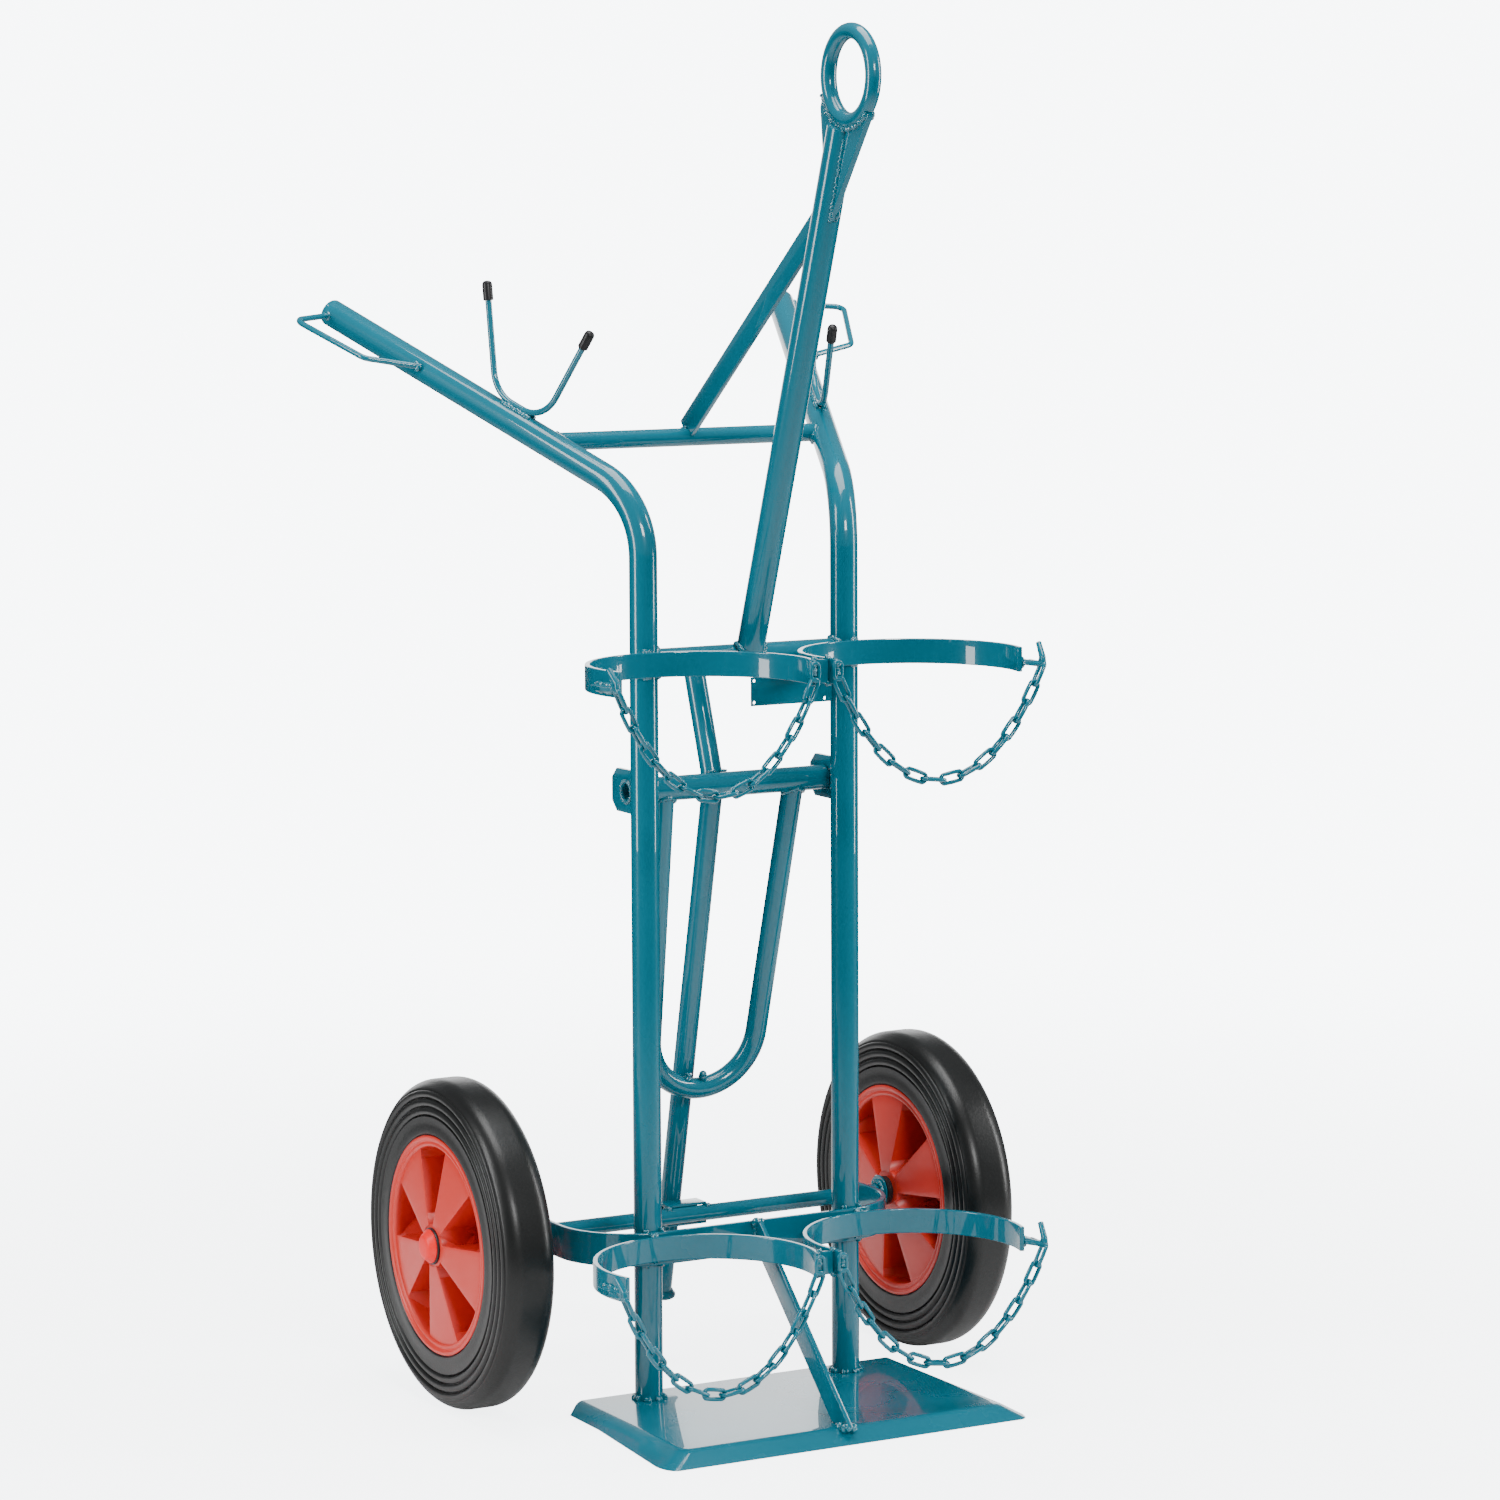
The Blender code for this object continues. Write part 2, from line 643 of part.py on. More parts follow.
def add_toe_plate(cart):
    """The sheet that the bottles stand on, its front and sides folded down, and its brace."""
    degrees = math.radians

    def edge(x_back, x_front, y_front, z):
        right = arc((x_front - TOE_CORNER_R, y_front + TOE_CORNER_R), TOE_CORNER_R, 0, degrees(-90), 5)
        points = [(x_back, TOE_BACK), *right]
        points += [(-x, y) for x, y in reversed(points)]
        return [(x, y, z) for x, y in points]

    under = 0.006
    share = 1 + under / TOE_TOP
    low_back = TOE_FOLD_X + (TOE_EDGE_BACK_X - TOE_FOLD_X) * share
    low_front = TOE_FOLD_X + (TOE_EDGE_X - TOE_FOLD_X) * share
    low_y = TOE_FOLD_Y + (TOE_EDGE_Y - TOE_FOLD_Y) * share
    top = edge(TOE_FOLD_X, TOE_FOLD_X, TOE_FOLD_Y, TOE_TOP)
    skirt = edge(low_back, low_front, low_y, -under)
    body = bmesh.new()
    top = [body.verts.new(place) for place in top]
    skirt = [body.verts.new(place) for place in skirt]
    body.faces.new(top)
    for a, b, c, d in zip(top, top[1:], skirt[1:], skirt):
        body.faces.new((a, d, c, b))
    for place, normal in (((0, SEAT_BACK, 0), (0, 1, 0)), ((SEAT_X, 0, 0), (1, 0, 0)), ((-SEAT_X, 0, 0), (1, 0, 0))):
        everything = [*body.verts, *body.edges, *body.faces]
        bmesh.ops.bisect_plane(body, geom=everything, plane_co=place, plane_no=normal)
    bmesh.ops.recalc_face_normals(body, faces=body.faces)
    if max(body.faces, key=lambda face: face.calc_area()).normal.z < 0:
        bmesh.ops.reverse_faces(body, faces=body.faces)
    mesh = bpy.data.meshes.new("toe_plate")
    body.to_mesh(mesh)
    body.free()
    plate = add_object("toe_plate", mesh, BLUE, cart)
    shell = plate.modifiers.new("thickness", "SOLIDIFY")
    shell.thickness = TOE_THICKNESS
    shell.offset = -1.0
    shell.use_even_offset = True
    boolean(plate, box("cut_floor", (-0.4, -0.4, -0.05), (0.4, 0.2, 0.0), None, cart))

    slope = 0.9464
    tip = Vector((-0.2520, TOE_TOP + GAP))
    face = BOW_Y - BOW_THICKNESS / 2 - GAP
    top_z = BOW_Z + BOW_HEIGHT / 2 - 0.0005
    rise = BRACE_WIDTH * math.hypot(1, slope)
    front_at_face = tip.y + (face - tip.x) * slope
    outline = [
        tip,
        (tip.x + (top_z - tip.y) / slope, top_z),
        (face, top_z),
        (face, front_at_face - rise),
        (tip.x + rise / slope, tip.y),
    ]
    flat("toe_brace", [outline], BRACE_THICKNESS, BLUE, cart, turn=UPRIGHT_PLANE)


def add_wheel(word, side, cart):
    """One wheel: tyre, rim, bush and cap on an empty at the wheel's middle, its Z outward."""
    wheel = add_empty(f"{word}_wheel", cart, (side * WHEEL_X, AXLE_Y, AXLE_Z), (0, side * math.pi / 2, 0))
    lip = 0.0301
    shoulder = arc((TYRE_R - 0.0280, TYRE_HALF - 0.0280), 0.0280, math.pi / 2, 0, 3)
    profile = [(RIM_LIP_R + 0.0006, 0.0335), (0.150, TYRE_HALF), *shoulder]
    outer = profile + [(radius, -height) for radius, height in reversed(profile)]
    seat = [(RIM_LIP_R + 0.0006, -lip + GAP), (RIM_SEAT_R + GAP, -lip + GAP)]
    seat += [(radius, -height) for radius, height in reversed(seat)]
    turned(f"{word}_tyre", outer + seat, RUBBER, wheel, ring=True)

    half = [(RIM_LIP_R, 0.0335), (RIM_LIP_R, lip), (RIM_SEAT_R, lip)]
    inner = [(0.1190, 0.0335), (0.1165, 0.0050), (0.0360, 0.0050), (0.0330, HUB_HALF), (BUSH_R + GAP, HUB_HALF)]
    outer = half + [(radius, -height) for radius, height in reversed(half)]
    bore = [(radius, -height) for radius, height in inner] + inner[::-1]
    turned(f"{word}_rim", outer + bore, RED, wheel, ring=True)

    flange_r, flange = 0.0185, 0.0050
    bore_r = AXLE_R + GAP
    profile = [(BUSH_R, HUB_HALF), (BUSH_R, -HUB_HALF - GAP), (flange_r, -HUB_HALF - GAP)]
    profile += [(flange_r, -HUB_HALF - flange), (bore_r, -HUB_HALF - flange), (bore_r, HUB_HALF)]
    turned(f"{word}_hub_bush", profile, BLACK, wheel, steps=20, ring=True)

    base = HUB_HALF + GAP
    profile = [(0.0, base + 0.0095), (0.009, base + 0.0088), (0.0165, base + 0.0060), (0.0215, base + 0.0030)]
    profile += [(0.0220, base), (0.0, base)]
    turned(f"{word}_hub_cap", profile, RED, wheel, steps=20)


def leg_line(drop):
    """How far behind the pivot the leg's lower line is, this far below it."""
    return LEG_CORNER + LEG_SLOPE * drop


def add_support_leg(cart):
    """The swinging leg on an empty at its pivot: sleeve, round-bottomed loop, bent leg and foot."""
    leg = add_empty("support_leg", cart, (0, PIVOT_Y, PIVOT_Z))
    ends = ((-SLEEVE_HALF, 0, 0), (SLEEVE_HALF, 0, 0))
    straight("leg_sleeve", *ends, SLEEVE_R, BLUE, leg, sides=24, wall=SLEEVE_R - SLEEVE_BORE_R)

    bottom = arc((0, -LOOP_DROP), LOOP_R, -LOOP_TAPER - math.pi, LOOP_TAPER, 12)
    flat_route = [(-LOOP_TOP_X, 0.0), *bottom, (LOOP_TOP_X, 0.0)]
    route = [(x, -drop * math.sin(BOW_LEAN), drop * math.cos(BOW_LEAN)) for x, drop in flat_route]
    loop = as_mesh(rod("leg_loop", route, LEG_R, BLUE, leg, sides=12), BLUE)
    boolean(loop, round_cutter("cut_sleeve", *ends, SLEEVE_R, leg))

    top = Vector((LEG_X, LEG_CORNER + ARM_SLOPE * ARM_RISE, ARM_RISE))
    corner = Vector((LEG_X, LEG_CORNER, 0.0))
    foot = Vector((LEG_X, leg_line(LEG_FOOT_DROP), -LEG_FOOT_DROP))
    down = (foot - corner).normalized()
    foot_height = 0.009
    route = rounded_path([top, corner, foot - down * (foot_height + GAP)], LEG_BEND_R, math.radians(10))
    rod("leg_tube", route, LEG_R, BLUE, leg, sides=12, wall=LEG_WALL)
    edge = 0.0025
    profile = [(0.0, foot_height), (LEG_R + 0.001, foot_height), (0.0165, 0.0052), (0.0185, edge), (0.0175, 0.0), (0.0, 0.0)]
    turned("leg_foot", profile, BLUE, leg, foot, (-down).to_track_quat("Z", "Y").to_euler(), steps=20)


def add_pivot(cart):
    """The two plates behind the uprights and the pivot tube through them."""
    half = PLATE_THICKNESS / 2
    front, rear = TUBE_R + GAP, 0.079
    low, high, chamfer = 0.722, 0.774, 0.012
    outline = [
        (front, low),
        (rear - chamfer, low),
        (rear, low + chamfer),
        (rear, high - chamfer),
        (rear - chamfer, high),
        (front, high),
    ]
    hole = arc((PIVOT_Y, PIVOT_Z), PIVOT_R + GAP * 1.5, 0, 2 * math.pi, 24)[:-1]
    for word, side in SIDES:
        place = (side * UPRIGHT_X, 0, 0)
        flat(f"{word}_pivot_plate", [outline, hole], PLATE_THICKNESS, BLUE, cart, place, UPRIGHT_PLANE)
    reach = UPRIGHT_X + half + 0.0005
    ends = ((-reach, PIVOT_Y, PIVOT_Z), (reach, PIVOT_Y, PIVOT_Z))
    straight("pivot_tube", *ends, PIVOT_R, BLUE, cart, sides=24, wall=PIVOT_WALL)


def add_name_plate(cart):
    """The small blank plate beside the right upright, with a hole in each corner."""
    left, right = 0.0080, UPRIGHT_X - TUBE_R - GAP
    low, high = 0.8455, 0.8800
    inset, hole_r = 0.0042, 0.0020
    outline = [(left, low), (right, low), (right, high), (left, high)]
    holes = []
    for x in (left + inset, right - 0.0100):
        for z in (low + inset, high - inset):
            holes.append(arc((x, z), hole_r, 0, 2 * math.pi, 10)[:-1])
    flat("name_plate", [outline, *holes], 0.002, BLUE, cart, turn=(math.pi / 2, 0, 0))


def main():
    """Build the whole trolley."""
    cart = add_empty("trolley", None, (0, -DEPTH_MIDDLE, 0))
    add_toe_plate(cart)
    add_uprights(cart)
    add_cross_tubes(cart)
    add_mast(cart)
    add_hand_guards(cart)
    add_hose_hooks(cart)
    add_cradles(cart)
    add_chain_hooks(cart)
    add_chain_eyes(cart)
    add_chains(cart)
    add_axle(cart)
    for word, side in SIDES:
        add_wheel(word, side, cart)
    add_pivot(cart)
    add_support_leg(cart)
    add_name_plate(cart)


clear_scene()
PARTS = new_collection("gas_bottle_trolley")
CUTTERS = new_collection("cutters")
main()
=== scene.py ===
"""The visual model of the gas bottle trolley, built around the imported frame.

Sizes are in metres. Places are given from the plane of the two uprights, which the frame tells,
and from the floor; x grows to the right-hand side seen from the front."""

import logging
import math
from dataclasses import dataclass, field
from enum import Enum
from typing import Iterable, Sequence
import bmesh
import bpy
from mathutils import Matrix, Vector


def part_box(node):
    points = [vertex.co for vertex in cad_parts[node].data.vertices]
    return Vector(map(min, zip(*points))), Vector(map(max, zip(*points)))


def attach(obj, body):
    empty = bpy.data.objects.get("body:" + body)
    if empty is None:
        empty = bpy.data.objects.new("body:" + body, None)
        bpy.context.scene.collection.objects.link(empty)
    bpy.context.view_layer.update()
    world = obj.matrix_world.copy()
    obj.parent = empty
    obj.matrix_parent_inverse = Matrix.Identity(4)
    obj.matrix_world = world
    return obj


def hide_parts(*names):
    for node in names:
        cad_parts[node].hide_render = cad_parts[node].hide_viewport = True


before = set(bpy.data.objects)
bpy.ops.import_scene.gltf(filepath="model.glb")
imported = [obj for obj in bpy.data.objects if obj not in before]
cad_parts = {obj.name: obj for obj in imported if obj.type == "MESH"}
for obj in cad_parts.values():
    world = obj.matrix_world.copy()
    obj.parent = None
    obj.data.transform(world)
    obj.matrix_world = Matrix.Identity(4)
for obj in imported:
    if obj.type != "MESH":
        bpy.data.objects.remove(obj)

LOG = logging.getLogger("trolley")
GAP = 0.0003
MERGE = 0.000005
UP = Vector((0, 0, 1))
RIGHT = Vector((1, 0, 0))
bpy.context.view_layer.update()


class Side(Enum):
    """The two sides of the trolley."""

    LEFT = -1
    RIGHT = 1

    @property
    def word(self) -> str:
        """The side's name.

        Returns:
            The name in small letters.
        """
        return self.name.lower()


class Level(Enum):
    """The two heights that carry cradles."""

    UPPER = "upper"
    LOWER = "lower"


def node_middle(node: str) -> Vector:
    """The middle of a node's box.

    Args:
        node: The name of the frame's node.

    Returns:
        The middle of the box.
    """
    low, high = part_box(node)
    return (Vector(low) + Vector(high)) / 2


PLANE_Y = node_middle("upper_cross_tube").y


def at(x: float, y: float, z: float) -> Vector:
    """A place in the frame.

    Args:
        x: Distance to the right of the middle.
        y: Distance behind the uprights' plane.
        z: Height above the floor.

    Returns:
        The point in the row frame.
    """
    return Vector((x, y + PLANE_Y, z))


# ---------------------------------------------------------------- finishes


def new_group(name: str, inputs: Sequence[tuple], outputs: Sequence[tuple]) -> bpy.types.NodeTree:
    """A shader node group with its sockets.

    Args:
        name: The group's name.
        inputs: Pairs of socket name and socket type.
        outputs: Pairs of socket name and socket type.

    Returns:
        The empty group with its input and output nodes.
    """
    group = bpy.data.node_groups.new(name, "ShaderNodeTree")
    for word, kind in inputs:
        group.interface.new_socket(word, in_out="INPUT", socket_type=kind)
    for word, kind in outputs:
        group.interface.new_socket(word, in_out="OUTPUT", socket_type=kind)
    group.nodes.new("NodeGroupInput")
    group.nodes.new("NodeGroupOutput")
    return group


def group_ends(group: bpy.types.NodeTree) -> tuple[bpy.types.Node, bpy.types.Node]:
    """The group's input node and output node.

    Args:
        group: The node group.

    Returns:
        The two nodes, the input first.
    """
    ends = {node.type: node for node in group.nodes}
    return ends["GROUP_INPUT"], ends["GROUP_OUTPUT"]


def ripple_group() -> bpy.types.NodeTree:
    """A group that gives the faint waviness of a sprayed or moulded skin.

    Returns:
        The group.
    """
    kinds = [("Scale", "NodeSocketFloat"), ("Depth", "NodeSocketFloat")]
    group = new_group("fine_ripple", kinds, [("Normal", "NodeSocketVector")])
    start, end = group_ends(group)
    place = group.nodes.new("ShaderNodeTexCoord")
    noise = group.nodes.new("ShaderNodeTexNoise")
    noise.inputs["Detail"].default_value = 2.0
    bump = group.nodes.new("ShaderNodeBump")
    bump.inputs["Distance"].default_value = 0.001
    link = group.links.new
    link(place.outputs["Object"], noise.inputs["Vector"])
    link(start.outputs["Scale"], noise.inputs["Scale"])
    link(noise.outputs["Fac"], bump.inputs["Height"])
    link(start.outputs["Depth"], bump.inputs["Strength"])
    link(bump.outputs["Normal"], end.inputs["Normal"])
    return group


def tone_group() -> bpy.types.NodeTree:
    """A group that varies a colour and a roughness in soft patches with a few specks.

    Returns:
        The group.
    """
    kinds = [("Colour", "NodeSocketColor"), ("Second", "NodeSocketColor"), ("Speck", "NodeSocketColor")]
    kinds += [("Scale", "NodeSocketFloat"), ("Smooth", "NodeSocketFloat"), ("Dull", "NodeSocketFloat")]
    results = [("Colour", "NodeSocketColor"), ("Roughness", "NodeSocketFloat")]
    group = new_group("patchy_tone", kinds, results)
    start, end = group_ends(group)
    nodes, link = group.nodes, group.links.new
    place = nodes.new("ShaderNodeTexCoord")
    patches = nodes.new("ShaderNodeTexNoise")
    patches.inputs["Detail"].default_value = 5.0
    link(place.outputs["Object"], patches.inputs["Vector"])
    link(start.outputs["Scale"], patches.inputs["Scale"])
    blend = nodes.new("ShaderNodeMix")
    blend.data_type = "RGBA"
    link(patches.outputs["Fac"], blend.inputs["Factor"])
    link(start.outputs["Colour"], blend.inputs["A"])
    link(start.outputs["Second"], blend.inputs["B"])
    grit = nodes.new("ShaderNodeTexVoronoi")
    grit.inputs["Scale"].default_value = 140.0
    link(place.outputs["Object"], grit.inputs["Vector"])
    pick = nodes.new("ShaderNodeMapRange")
    pick.inputs["From Min"].default_value = 0.05
    pick.inputs["From Max"].default_value = 0.03
    pick.inputs["To Max"].default_value = 0.55
    link(grit.outputs["Distance"], pick.inputs["Value"])
    specks = nodes.new("ShaderNodeMix")
    specks.data_type = "RGBA"
    link(pick.outputs["Result"], specks.inputs["Factor"])
    link(blend.outputs["Result"], specks.inputs["A"])
    link(start.outputs["Speck"], specks.inputs["B"])
    link(specks.outputs["Result"], end.inputs["Colour"])
    sheen = nodes.new("ShaderNodeMapRange")
    link(patches.outputs["Fac"], sheen.inputs["Value"])
    link(start.outputs["Smooth"], sheen.inputs["To Min"])
    link(start.outputs["Dull"], sheen.inputs["To Max"])
    link(sheen.outputs["Result"], end.inputs["Roughness"])
    return group


@dataclass(frozen=True)
class Finish:
    """One material: its colours, gloss and surface ripple, and the record's slot it stands for."""

    name: str
    slot: str
    colour: tuple[float, float, float]
    second: tuple[float, float, float]
    speck: tuple[float, float, float]
    patch_scale: float
    smooth: float
    dull: float
    coat: float
    coat_roughness: float
    specular: float
    ripple_scale: float
    ripple_depth: float

    def material(self) -> bpy.types.Material:
        """The finish's material, made on its first use.

        Returns:
            The material.
        """
        made = bpy.data.materials.get(self.name)
        if made is not None:
            return made
        made = bpy.data.materials.new(self.name)
        made.use_nodes = True
        nodes, link = made.node_tree.nodes, made.node_tree.links.new
        shader = nodes["Principled BSDF"]
        tone = nodes.new("ShaderNodeGroup")
        tone.node_tree = bpy.data.node_groups.get("patchy_tone") or tone_group()
        tone.inputs["Colour"].default_value = (*self.colour, 1.0)
        tone.inputs["Second"].default_value = (*self.second, 1.0)
        tone.inputs["Speck"].default_value = (*self.speck, 1.0)
        tone.inputs["Scale"].default_value = self.patch_scale
        tone.inputs["Smooth"].default_value = self.smooth
        tone.inputs["Dull"].default_value = self.dull
        ripple = nodes.new("ShaderNodeGroup")
        ripple.node_tree = bpy.data.node_groups.get("fine_ripple") or ripple_group()
        ripple.inputs["Scale"].default_value = self.ripple_scale
        ripple.inputs["Depth"].default_value = self.ripple_depth
        link(tone.outputs["Colour"], shader.inputs["Base Color"])
        link(tone.outputs["Roughness"], shader.inputs["Roughness"])
        link(ripple.outputs["Normal"], shader.inputs["Normal"])
        shader.inputs["Coat Weight"].default_value = self.coat
        shader.inputs["Coat Roughness"].default_value = self.coat_roughness
        shader.inputs["Specular IOR Level"].default_value = self.specular
        return made


PAINT = Finish(
    name="water_blue_gloss_paint",
    slot="blue_paint",
    colour=(0.0, 0.118, 0.172),
    second=(0.0, 0.134, 0.194),
    speck=(0.003, 0.180, 0.245),
    patch_scale=9.0,
    smooth=0.22,
    dull=0.32,
    coat=0.85,
    coat_roughness=0.012,
    specular=0.15,
    ripple_scale=34.0,
    ripple_depth=0.018,
)
BEAD_PAINT = Finish(
    name="paint_over_weld",
    slot="blue_paint",
    colour=(0.0002, 0.105, 0.150),
    second=(0.0006, 0.150, 0.210),
    speck=(0.020, 0.280, 0.340),
    patch_scale=120.0,
    smooth=0.14,
    dull=0.24,
    coat=1.0,
    coat_roughness=0.015,
    specular=0.35,
    ripple_scale=420.0,
    ripple_depth=0.16,
)
RIM_PLASTIC = Finish(
    name="moulded_red_plastic",
    slot="red_plastic",
    colour=(0.620, 0.030, 0.018),
    second=(0.560, 0.024, 0.014),
    speck=(0.700, 0.070, 0.045),
    patch_scale=22.0,
    smooth=0.32,
    dull=0.44,
    coat=0.08,
    coat_roughness=0.20,
    specular=0.40,
    ripple_scale=700.0,
    ripple_depth=0.05,
)
CAP_PLASTIC = Finish(
    name="bright_red_cap",
    slot="red_plastic",
    colour=(0.900, 0.003, 0.005),
    second=(0.820, 0.003, 0.005),
    speck=(0.920, 0.020, 0.020),
    patch_scale=60.0,
    smooth=0.34,
    dull=0.44,
    coat=0.04,
    coat_roughness=0.12,
    specular=0.30,
    ripple_scale=500.0,
    ripple_depth=0.03,
)
TYRE_RUBBER = Finish(
    name="solid_tyre_rubber",
    slot="tyre",
    colour=(0.0030, 0.0034, 0.0034),
    second=(0.0060, 0.0064, 0.0062),
    speck=(0.016, 0.016, 0.015),
    patch_scale=14.0,
    smooth=0.30,
    dull=0.44,
    coat=0.10,
    coat_roughness=0.20,
    specular=0.32,
    ripple_scale=380.0,
    ripple_depth=0.16,
)
BUSH_PLASTIC = Finish(
    name="black_bush_plastic",
    slot="black_plastic",
    colour=(0.010, 0.010, 0.011),
    second=(0.016, 0.016, 0.017),
    speck=(0.040, 0.040, 0.040),
    patch_scale=40.0,
    smooth=0.30,
    dull=0.45,
    coat=0.0,
    coat_roughness=0.1,
    specular=0.50,
    ripple_scale=500.0,
    ripple_depth=0.06,
)
SOFT_CAP = Finish(
    name="dipped_soft_cap",
    slot="soft_cap",
    colour=(0.008, 0.008, 0.009),
    second=(0.014, 0.014, 0.015),
    speck=(0.030, 0.030, 0.032),
    patch_scale=80.0,
    smooth=0.30,
    dull=0.42,
    coat=0.0,
    coat_roughness=0.10,
    specular=0.25,
    ripple_scale=260.0,
    ripple_depth=0.02,
)

# ---------------------------------------------------------------- modelling helpers


def clear_selection() -> None:
    """Leave edit mode and deselect everything."""
    if bpy.context.object and bpy.context.object.mode != "OBJECT":
        bpy.ops.object.mode_set(mode="OBJECT")
    bpy.ops.object.select_all(action="DESELECT")


def select_only(thing: bpy.types.Object) -> None:
    """Leave edit mode and make one object the selected and active one.

    Args:
        thing: The object.
    """
    clear_selection()
    thing.select_set(True)
    bpy.context.view_layer.objects.active = thing


def shade(thing: bpy.types.Object, angle: float) -> None:
    """Shade an object smooth and keep its sharp edges.

    Args:
        thing: The object.
        angle: Edges sharper than this many degrees count as sharp.
    """
    select_only(thing)
    bpy.ops.object.shade_smooth_by_angle(angle=math.radians(angle))


def edit(thing: bpy.types.Object) -> None:
    """Open one object in edit mode with everything in it selected.

    Args:
        thing: The object.
    """
    select_only(thing)
    bpy.ops.object.mode_set(mode="EDIT")
    bpy.ops.mesh.select_all(action="SELECT")


def settle(thing: bpy.types.Object) -> None:
    """Apply an object's place, turn and size to its mesh.

    Args:
        thing: The object.
    """
    select_only(thing)
    bpy.ops.object.transform_apply(location=True, rotation=True, scale=True)


def tidy_faces(thing: bpy.types.Object, angle: float = 35.0) -> None:
    """Merge doubles, turn the faces outward and shade by angle.

    Args:
        thing: The object to finish.
        angle: Edges sharper than this many degrees stay sharp.
    """
    edit(thing)
    bpy.ops.mesh.remove_doubles(threshold=MERGE)
    bpy.ops.mesh.normals_make_consistent(inside=False)
    shade(thing, angle)


def apply_modifier(thing: bpy.types.Object, kind: str, **settings) -> None:
    """Add a modifier with its settings and apply it.

    Args:
        thing: The object.
        kind: The modifier's type.
        **settings: Values for its properties.
    """
    select_only(thing)
    step = thing.modifiers.new(kind.lower(), kind)
    for word, value in settings.items():
        setattr(step, word, value)
    bpy.ops.object.modifier_apply(modifier=step.name)


def round_edges(thing: bpy.types.Object, width: float, segments: int = 3, angle: float = 40.0) -> None:
    """Round the sharp edges of a solid.

    Args:
        thing: The object.
        width: The width of the rounding.
        segments: Faces across the rounding.
        angle: Edges sharper than this many degrees count as sharp.
    """
    limit = {"limit_method": "ANGLE", "angle_limit": math.radians(angle)}
    apply_modifier(thing, "BEVEL", width=width, segments=segments, **limit)
    shade(thing, 30)


def join(things: Sequence[bpy.types.Object], name: str) -> bpy.types.Object:
    """Join objects into one.

    Args:
        things: The objects.
        name: The joined object's name.

    Returns:
        The joined object.
    """
    clear_selection()
    for thing in things:
        thing.select_set(True)
    bpy.context.view_layer.objects.active = things[0]
    if len(things) > 1:
        bpy.ops.object.join()
    whole = bpy.context.view_layer.objects.active
    whole.name = name
    return whole


def dress(thing: bpy.types.Object, finish: Finish, body: str, nodes: Iterable[str] = ()) -> bpy.types.Object:
    """Give a piece its material and its body, and hide the frame's nodes that it stands for.

    Args:
        thing: The finished piece.
        finish: Its material.
        body: The body that it rides on.
        nodes: The frame's nodes that it replaces.

    Returns:
        The piece.
    """
    thing.data.materials.clear()
    thing.data.materials.append(finish.material())
    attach(thing, body)
    nodes = list(nodes)
    if nodes:
        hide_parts(*nodes)
    LOG.info("%s on %s, %d faces", thing.name, body, len(thing.data.polygons))
    return thing


def facing(direction: Vector, up: Vector) -> Matrix:
    """A turn that points Z along a direction and keeps Y near up.

    Args:
        direction: The direction of Z.
        up: The direction near Y.

    Returns:
        The turn as a matrix.
    """
    z = direction.normalized()
    x = up.cross(z).normalized()
    return Matrix((x, z.cross(x), z)).transposed().to_4x4()


@dataclass
class Round:
    """A round section."""

    radius: float
    sides: int = 36

    def draw(self, name: str, start: Vector, direction: Vector) -> bpy.types.Object:
        """The filled section, square to the direction.

        Args:
            name: The name of the section.
            start: Its middle.
            direction: The direction that it faces.

        Returns:
            The section, filled.
        """
        clear_selection()
        bpy.ops.mesh.primitive_circle_add(vertices=self.sides, radius=self.radius, fill_type="NGON")
        disc = bpy.context.object
        disc.name = name
        side = UP if abs(direction.normalized().z) < 0.9 else Vector((0, 1, 0))
        disc.matrix_world = Matrix.Translation(start) @ facing(direction, side)
        settle(disc)
        return disc


@dataclass
class Flat:
    """A rectangular section that stands upright."""

    thickness: float
    height: float

    def draw(self, name: str, start: Vector, direction: Vector) -> bpy.types.Object:
        """The filled section, square to the direction.

        Args:
            name: The name of the section.
            start: Its middle.
            direction: The direction that it faces.

        Returns:
            The section, filled.
        """
        clear_selection()
        bpy.ops.mesh.primitive_plane_add(size=1.0)
        plane = bpy.context.object
        plane.name = name
        size = Matrix.Diagonal((self.thickness, self.height, 1.0, 1.0))
        plane.matrix_world = Matrix.Translation(start) @ facing(direction, UP) @ size
        settle(plane)
        return plane


def bent_bar(
    name: str, section: Round | Flat, corners: Sequence[Vector], radius: float = 0.0, step: float = 5.0
) -> bpy.types.Object:
    """A bar or tube bent round its corners: the section is extruded, and spun round each bend.

    Args:
        name: The piece's name.
        section: A Round or a Flat.
        corners: The corners of its centre line.
        radius: The radius of each bend.
        step: Degrees of bend to each ring.

    Returns:
        The solid bar.
    """
    corners = [Vector(corner) for corner in corners]
    bar = section.draw(name, corners[0], corners[1] - corners[0])
    edit(bar)
    here = corners[0]
    for before, corner, after in zip(corners, corners[1:], corners[2:]):
        into = (corner - before).normalized()
        out = (after - corner).normalized()
        turn = into.angle(out)
        start = corner - into * radius * math.tan(turn / 2)
        if (start - here).length > GAP:
            bpy.ops.mesh.extrude_region_move(TRANSFORM_OT_translate={"value": start - here})
        centre = corner + (out - into).normalized() * radius / math.cos(turn / 2)
        steps = max(3, round(math.degrees(turn) / step))
        bpy.ops.mesh.spin(steps=steps, angle=-turn, center=centre, axis=into.cross(out).normalized())
        here = corner + out * radius * math.tan(turn / 2)
    bpy.ops.mesh.extrude_region_move(TRANSFORM_OT_translate={"value": corners[-1] - here})
    tidy_faces(bar)
    return bar


